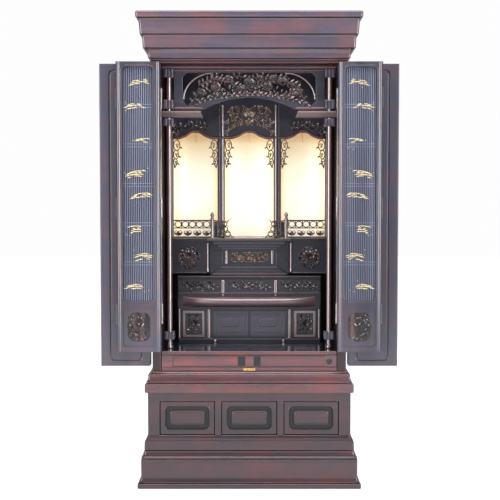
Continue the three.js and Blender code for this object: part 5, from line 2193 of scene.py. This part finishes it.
@dataclass
class SideStand:
    """A dais beside the table, with a round carving and a rounded inner pilaster."""

    wall: float = 9.0
    centre: Pair = (201.0, 697.0)
    pilaster: Sequence[Pair] = ((5.5, 650), (5.5, 653), (4.4, 658), (3.9, 670), (3.9, 724), (4.4, 738),
                                (5.5, 742), (5.5, 745))

    def medallion(self, y: float) -> Piece:
        """Three blossoms in a ring of scrolls and leaves.

        Args:
            y: The plane that it stands in.

        Returns:
            The carving.
        """
        x, z = self.centre
        carver = Carver("side_medallion", y)
        carver.loop(x, z, 35, 35, 36, 1.7, 0.4)
        carver.blossom(x + 4, z + 6, 15, 7, 1.2)
        carver.blossom(x - 15, z - 12, 10, 5, 1.0)
        carver.blossom(x + 18, z - 14, 8, 5, 1.0)
        inner = oval(x, z, 23, 23)
        for k in range(6):
            carver.scroll(*inner(k / 6), 8.5, k / 6 * FULL_TURN, 1.3, 1.4, 1 if k % 2 else -1, 0.5)
        carver.spray(oval(x, z, 27, 27), 26, 14, 7, 0.8, 41, 0.8)
        return carver.done()

    def build(self, shop: Workshop) -> None:
        """Builds the right stand and its copy.

        Args:
            shop: The workshop that places them.
        """
        p = Place.of("side_stand_right")
        y = p.y0 + 5.5
        shell = Bench.block(p.x, (y, p.y1), (p.z0, p.z1))
        Bench.cut(shell, Bench.block((p.x0 + self.wall, p.x1 - self.wall), (y + self.wall, p.y1 + 2),
                                     (p.z0 - 2, p.z1 - self.wall)))
        edge = (p.x0 + 11, p.x1)
        parts = [Bench.ease(shell, 0.8),
                 Bench.bar(edge, (p.y0 + 2.2, y + 1), (p.z1 - 5.4, p.z1), 1.6),
                 Bench.bar(edge, (p.y0 + 4, y + 1), (p.z1 - 11, p.z1 - 6.4), 1.4),
                 Bench.bar(edge, (p.y0 + 2.2, y + 1), (p.z0, p.z0 + 5), 1.6)]
        shop.place_pair("side_stand_right.001", parts, TABLE_WOOD, "side_stand")
        # Strips of lighter wood along the top and foot edges: painted highlight lines.
        highlight_lips = [Bench.bar(edge, (p.y0 + 1.8, p.y0 + 5), (p.z1 - 4.2, p.z1 - 0.4), 1.4),
                Bench.bar(edge, (p.y0 + 1.8, p.y0 + 5), (p.z0 + 0.4, p.z0 + 3.6), 1.2)]
        shop.place_pair("side_stand_highlight_lips", highlight_lips, BEAM_WOOD, "side_stand", trim=True)
        pilaster = Bench.turned(p.x0 + 7, y, self.pilaster)
        shop.place_pair("side_pilaster", [pilaster], LACQUER, "side_stand", Grain.Z, trim=True)
        shop.place_pair("side_medallion", [self.medallion(y - 0.4)], CARVED_WOOD_WITH_GLINTS, "side_stand", trim=True)


# ------------------------------------------------------------------ steps, shelf and lower row


@dataclass
class StepUnit:
    """The stepped unit: a moulded top over three carved panels parted by two posts."""

    panels: Sequence[Pair] = ((-234, -97), (-78, 78), (97, 234))
    wall: float = 9.0
    post: float = 87.0
    drop: Sequence[Pair] = ((2.6, 572), (4, 573.5), (4, 576), (2.6, 578.4))

    def vines(self, y: float) -> Piece:
        """A vine with three blossoms in each panel.

        Args:
            y: The plane that they stand in.

        Returns:
            The carving.
        """
        carver = Carver("step_unit_vines", y)
        for k, (x0, x1) in enumerate(self.panels):
            path = vine((x0 + x1) / 2, x1 - x0 - 26, 606, (6, 6, 0))
            carver.stem(points_on(path, 34), 1.5)
            carver.spray(path, 24, 14, 7, 1.0, 51 + k, 0.8)
            for part in (0.16, 0.5, 0.84):
                carver.blossom(*path(part), 8.5, 5, 0.9)
        return carver.done()

    def build(self, shop: Workshop) -> None:
        """Builds the shell, the lips that paint highlight lines along its edges, the posts and the vines.

        Args:
            shop: The workshop that places them.
        """
        node = "step_unit"
        p = Place.of(node)
        y = p.y0 + 6
        shell = Bench.block(p.x, (y, p.y1), (p.z0, p.z1))
        Bench.cut(shell, Bench.block((p.x0 + self.wall, p.x1 - self.wall), (y + 10, p.y1 + 2),
                                     (p.z0 + self.wall, p.z1 - self.wall)))
        parts = [shell, Bench.bar(p.x, (p.y0, y + 1), (632.4, p.z1), 2.4, 4),
                 Bench.bar(p.x, (p.y0 + 3, y + 1), (627, 631.4), 1.6),
                 Bench.bar(p.x, (p.y0 + 1, y + 1), (578, 586), 2.0)]
        for panel in self.panels:
            parts.append(Bench.ease(Bench.ring(panel, (588, 625), (p.y0 + 2, y + 1), 3.0, 5.0, 2), 1.1))
        shop.place("step_unit_work", parts, TABLE_WOOD, node)
        # Strips of lighter wood along the top and sill edges: painted highlight lines.
        highlight_lips = [Bench.bar(p.x, (p.y0 - 0.4, p.y0 + 3), (633.6, 637.8), 1.6),
                Bench.bar(p.x, (p.y0 + 0.6, p.y0 + 4), (579.6, 583), 1.2)]
        shop.place("step_unit_highlight_lips", highlight_lips, BEAM_WOOD, node, trim=True)
        posts = [Bench.bar((s * 81.5, s * 93), (p.y0, y + 1), (580, 625), 3.6, 4) for s in (-1, 1)]
        posts += [Bench.turned(s * self.post, p.y0 + 3.4, self.drop, 14) for s in (-1, 1)]
        shop.place("step_unit_posts", posts, LACQUER, node, Grain.Z, trim=True)
        shop.place("step_unit_vines", [self.vines(y - 0.3)], CARVED_WOOD_WITH_GLINTS, node, trim=True)


@dataclass
class BowShelf:
    """A half-round shelf edge whose bow dies away to both ends, with a narrow finger slit."""

    sections: int = 28
    sides: int = 24
    slit: float = 100.0
    bow: float = 24.0
    least: float = 1.7

    def build(self, shop: Workshop) -> None:
        """Sweeps a half-round section along the shelf, swelling and dying away.

        Args:
            shop: The workshop that places it.
        """
        p = Place.of("bow_shelf")
        middle, tall = p.middle[2], (p.z1 - p.z0) / 2
        half, back = p.x1, p.y1
        swell = lambda x: self.bow * (1 - (abs(x) / half) ** 4) + self.least
        turns = [k / self.sides * math.pi for k in range(self.sides + 1)]
        outline = [(back - swell(half) * math.sin(turn), middle + tall * math.cos(turn)) for turn in turns]
        x, rises = -half, []
        for i in range(1, self.sections + 1):
            next_x = -half * math.cos(i / self.sections * math.pi)
            rises.append(((next_x - x, 0.0, 0.0), (1.0, swell(next_x) / swell(x), 1.0),
                          (next_x, back, middle)))
            x = next_x
        shelf = Bench.stack(Bench.face(outline, -half, 0), rises)
        Bench.cut(shelf, Bench.block((-self.slit, self.slit), (p.y0 - 8, p.y0 + 5),
                                     (middle - 1.1, middle + 0.9)))
        shop.place("bow_edge", [Bench.smooth(shelf, 32)], SHELF_WOOD, "bow_shelf", slot="body_rosewood")


@dataclass
class LowerCabinet:
    """The lower row: framed doors with small carvings, white-edged bars, and wells for two drawers."""

    face: float = -35.0
    doors: Pair = (149.0, 219.0)
    door_middle: float = 480.0
    ball: Sequence[Pair] = ((1.6, 419.4), (4.4, 420.4), (5.5, 424), (4.4, 427.4), (2.0, 429))

    def frames(self) -> list[Piece]:
        """The upright bars and the doors' frames.

        Returns:
            The bars and the frames.
        """
        y, parts = self.face, []
        for s in (-1, 1):
            parts.append(Bench.bar((s * 228, s * 234), (y - 0.5, y + 5), (431, 529), 2.4, 4))
            parts.append(Bench.bar((s * 129, s * 139), (y - 1, y + 5), (431, 529), 3.6, 4))
            door = tuple(sorted(s * x for x in self.doors))
            parts.append(Bench.ease(Bench.ring(door, (436, 522.5), (y - 1, y + 5), 2.0, 7.0, 2), 2.2, 4))
        return parts

    def carving(self) -> Piece:
        """A blossom among scrolls and leaves on each door.

        Returns:
            The carving.
        """
        carver = Carver("lower_row_carving", self.face + 3.4)
        for s in (-1, 1):
            x, z = s * sum(self.doors) / 2, self.door_middle
            carver.blossom(x + 3, z + 2, 13, 6, 0.8)
            inner = oval(x, z, 17, 19)
            for k in range(4):
                turn = k * math.pi / 2 + 0.6
                carver.scroll(*inner(turn / FULL_TURN), 7.5, turn, 1.2, 1.3, s, 0.2)
            carver.spray(oval(x, z, 20, 25), 14, 12, 6, 0.8, 61, 0.4)
        return carver.done()

    def build(self, shop: Workshop) -> None:
        """Builds the case, its bars, its doors and its ball feet.

        Args:
            shop: The workshop that places them.
        """
        node = "lower_cabinet"
        p = Place.of(node)
        y = self.face
        case = Bench.block(p.x, (y + 4, p.y1), (430, p.z1))
        hollow = Bench.block((p.x0 + 9, p.x1 - 9), (y + 16, p.y1 + 2), (438, p.z1 - 8))
        wells = [Bench.block((s * 3.7, s * 119.8), (y - 3, y + 22), (436.7, 522.8)) for s in (-1, 1)]
        Bench.cut(case, hollow, *wells)
        parts = [case, Bench.block((p.x0 + 3, p.x1 - 3), (y + 7, p.y1 - 5), (419.3, 431)),
                 Bench.bar(p.x, (y + 1, y + 5), (424, 430.5), 1.8),
                 Bench.bar(p.x, (y + 1, y + 5), (529, p.z1), 1.6)]
        shop.place("lower_row", parts, TABLE_WOOD, node)
        shop.place("lower_row_frames", self.frames(), LACQUER, node, Grain.Z, trim=True)
        shop.place("lower_row_carving", [self.carving()], CARVED_WOOD_WITH_GLINTS, node, trim=True)
        feet = [Bench.turned(s * 113, y - 1, self.ball, 18) for s in (-1, 1)]
        shop.place("lower_row_feet", feet, LACQUER, node, Grain.Z, trim=True)


@dataclass
class SmallDrawer:
    """A small drawer: a framed front with a long raised field, and its box."""

    wall: float = 6.0
    front: float = 12.0
    gap: float = 2.0

    def box(self, p: Place) -> Piece:
        """The open box behind the front.

        Args:
            p: The drawer's box.

        Returns:
            The box.
        """
        x, start, z0 = (p.x0 + self.gap, p.x1 - self.gap), p.y0 + self.front - 1, p.z0 + self.gap
        box = Bench.block(x, (start, p.y1), (z0, p.z1 - 4))
        hollow = Bench.block((x[0] + self.wall, x[1] - self.wall), (start + self.wall, p.y1 - self.wall),
                             (z0 + self.wall, p.z1 + 3))
        return Bench.cut(box, hollow)

    def build(self, shop: Workshop) -> None:
        """Builds the right drawer and its copy.

        Args:
            shop: The workshop that places them.
        """
        p = Place.of("small_drawer_right")
        z = (p.z0, p.z1)
        bead = Bench.ring((p.x0 + 14, p.x1 - 14), (p.z0 + 14, p.z1 - 14), (p.y0 + 1.6, p.y0 + 4), 3.0, 4.0, 3)
        field = Bench.slab((p.x0 + 29, p.x1 - 29), (470, 497), (p.y0 + 0.4, p.y0 + 4), 9.0)
        parts = [Bench.bar(p.x, (p.y0 + 3, p.y0 + self.front), z, 0.8, 2),
                 Bench.ease(Bench.ring(p.x, z, (p.y0, p.y0 + 4), 2.0, 8.0, 2), 2.0, 4),
                 Bench.ease(bead, 1.0), Bench.ease(field, 1.8, 3), self.box(p)]
        shop.place_pair("small_drawer_work", parts, FRAME_WOOD, "small_drawer")


@dataclass
class Sill:
    """The rounded reddish nosings on the floor and ceiling boards, and near-black strips of painted shade in
    the gap round the wide drawer and over its two handle recesses.
    """

    half: float = 270.6
    lines: Sequence[tuple[Pair, Pair]] = (
        ((-236, 236), (403.2, 405.2)), ((-236, 270), (370.4, 372.2)), ((-237.6, -235.8), (370.4, 405.2)),
        ((-35, -12), (373, 402.4)), ((15, 35), (373, 402.4)))

    def build(self, shop: Workshop) -> None:
        """Builds the nosings and the painted shade lines.

        Args:
            shop: The workshop that places them.
        """
        wide = (-self.half, self.half)
        p = Place.of("floor_board")
        nosing = Bench.bar(wide, (p.y0 - 1.6, p.y0 + 4), (p.z0 + 0.3, p.z1 - 0.2), 2.6, 4)
        shop.place("sill_nosing", [nosing], SILL_WOOD, "floor_board", slot="body_rosewood", trim=True)
        # Painted shade: near-black strips in the gap round the wide drawer and over its handle recesses.
        front = Place.of("wide_drawer").y0
        lines = [Bench.block(x, (front - 0.3, front + 1), z) for x, z in self.lines]
        shop.place("wide_drawer_shade_lines", lines, DARK_WOOD, "wide_drawer", slot="body_rosewood", trim=True)
        p = Place.of("ceiling_board")
        rail = Bench.bar(wide, (p.y0 - 1.0, p.y0 + 4), (p.z0 + 0.3, p.z1 - 0.3), 2.2, 4)
        shop.place("ceiling_nosing", [rail], SILL_WOOD, "ceiling_board", slot="body_rosewood", trim=True)


# ------------------------------------------------------------------ the whole cabinet


MOULDINGS: dict[str, tuple[Wood, Sequence[Level]]] = {
    "plinth": (BASE_WOOD, (
        (0, 42.5, STRAIGHT), (2, 44, ROUND), (11, 44, STRAIGHT), (15, 41, ROUND), (15.2, 29, STRAIGHT),
        (17.8, 29, STRAIGHT), (18, 40, STRAIGHT), (40, 33.5, COVE), (84, 33.5, STRAIGHT), (88, 30, ROUND))),
    "lower_moulding": (BASE_WOOD, (
        (88.3, 28, STRAIGHT), (89.5, 28, STRAIGHT), (90, 33, STRAIGHT), (94, 32.5, ROUND), (113, 24, COVE),
        (113.2, 13, STRAIGHT), (115.8, 13, STRAIGHT), (116, 24, STRAIGHT), (138, 23.5, STRAIGHT),
        (142, 20, ROUND))),
    "base_top_moulding": (SILL_WOOD, (
        (291, 17, STRAIGHT), (293, 17, STRAIGHT), (293.4, 22.5, STRAIGHT), (315, 22.5, STRAIGHT),
        (319.4, 18.5, ROUND), (319.6, 7, STRAIGHT), (322.2, 7, STRAIGHT), (322.4, 18, STRAIGHT),
        (326, 17.5, ROUND), (343, 12.5, COVE), (346, 12.5, STRAIGHT), (349.5, 8.5, ROUND), (357, 1, COVE))),
    "cornice": (CORNICE_REFLECTED_WOOD, (
        (1311, 2, STRAIGHT), (1315, 5, ROUND), (1315.2, -5, STRAIGHT), (1317.6, -5, STRAIGHT),
        (1318, 7, STRAIGHT), (1323, 9, ROUND), (1344, 20, COVE), (1344.2, 10, STRAIGHT),
        (1346.9, 10, STRAIGHT),
        (1347, 23, STRAIGHT), (1376, 24.5, STRAIGHT), (1384, 30, COVE), (1384.2, 19, STRAIGHT),
        (1387.1, 19, STRAIGHT), (1387.2, 31, STRAIGHT), (1426, 34, STRAIGHT), (1432, 38, COVE),
        (1432.2, 27, STRAIGHT), (1434.9, 27, STRAIGHT), (1435, 40, STRAIGHT), (1439, 43, ROUND),
        (1449, 43, STRAIGHT), (1454, 39, ROUND))),
}


def both(*names: str) -> list[str]:
    """The left and right names of some nodes."""
    return [f"{name}_{side}" for name in names for side in ("left", "right")]


def main() -> None:
    """Builds the studio and the cabinet part by part."""
    logging.basicConfig(level=logging.INFO, format="%(name)s: %(message)s")
    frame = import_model()
    Studio().build()
    shop = Workshop(frame["nodes"])
    for node, (wood, levels) in MOULDINGS.items():
        MouldedBlock(node, wood, levels).build(shop)
    shop.dress(["base_case"], BASE_WOOD, Grain.WRAP, 1.0)
    shop.dress(["base_back", "back_panel"], DARK_WOOD, Grain.Z)
    for side in ("left", "centre", "right"):
        BasePanel(f"base_panel_{side}").build(shop)
    shop.dress(both("front_post", "side_panel"), BODY_WOOD, Grain.Z, 1.0)
    shop.dress(["ceiling_board", "pull_out_shelf", "wide_drawer"], SILL_WOOD)
    shop.dress(["floor_board"], FLOOR_LACQUER, ease=2.0)
    for part in (OuterLeaf(), LatticeLeaf(), Lattice()):
        part.build(shop)
    shop.dress(both("outer_door_hinge", "outer_fold_hinge", "lattice_door_hinge", "lattice_fold_hinge"),
               PALE_METAL, ease=0.2)
    shop.dress(["drawer_lock"], LOCK_METAL, ease=0.4)
    shop.dress(["shelf_pull"], BRASS, ease=0.5)
    for part in (Pillar(), Beam(), Transom(), ArchedScreens(), Railing(), AltarTable(), SideStand(),
                 StepUnit(), BowShelf(), LowerCabinet(), SmallDrawer(), Sill()):
        part.build(shop)
    shop.dress(["niche_walls"], NICHE_CLOTH, ease=1.5)
    Carver.clear()


if __name__ == "__main__":
    main()
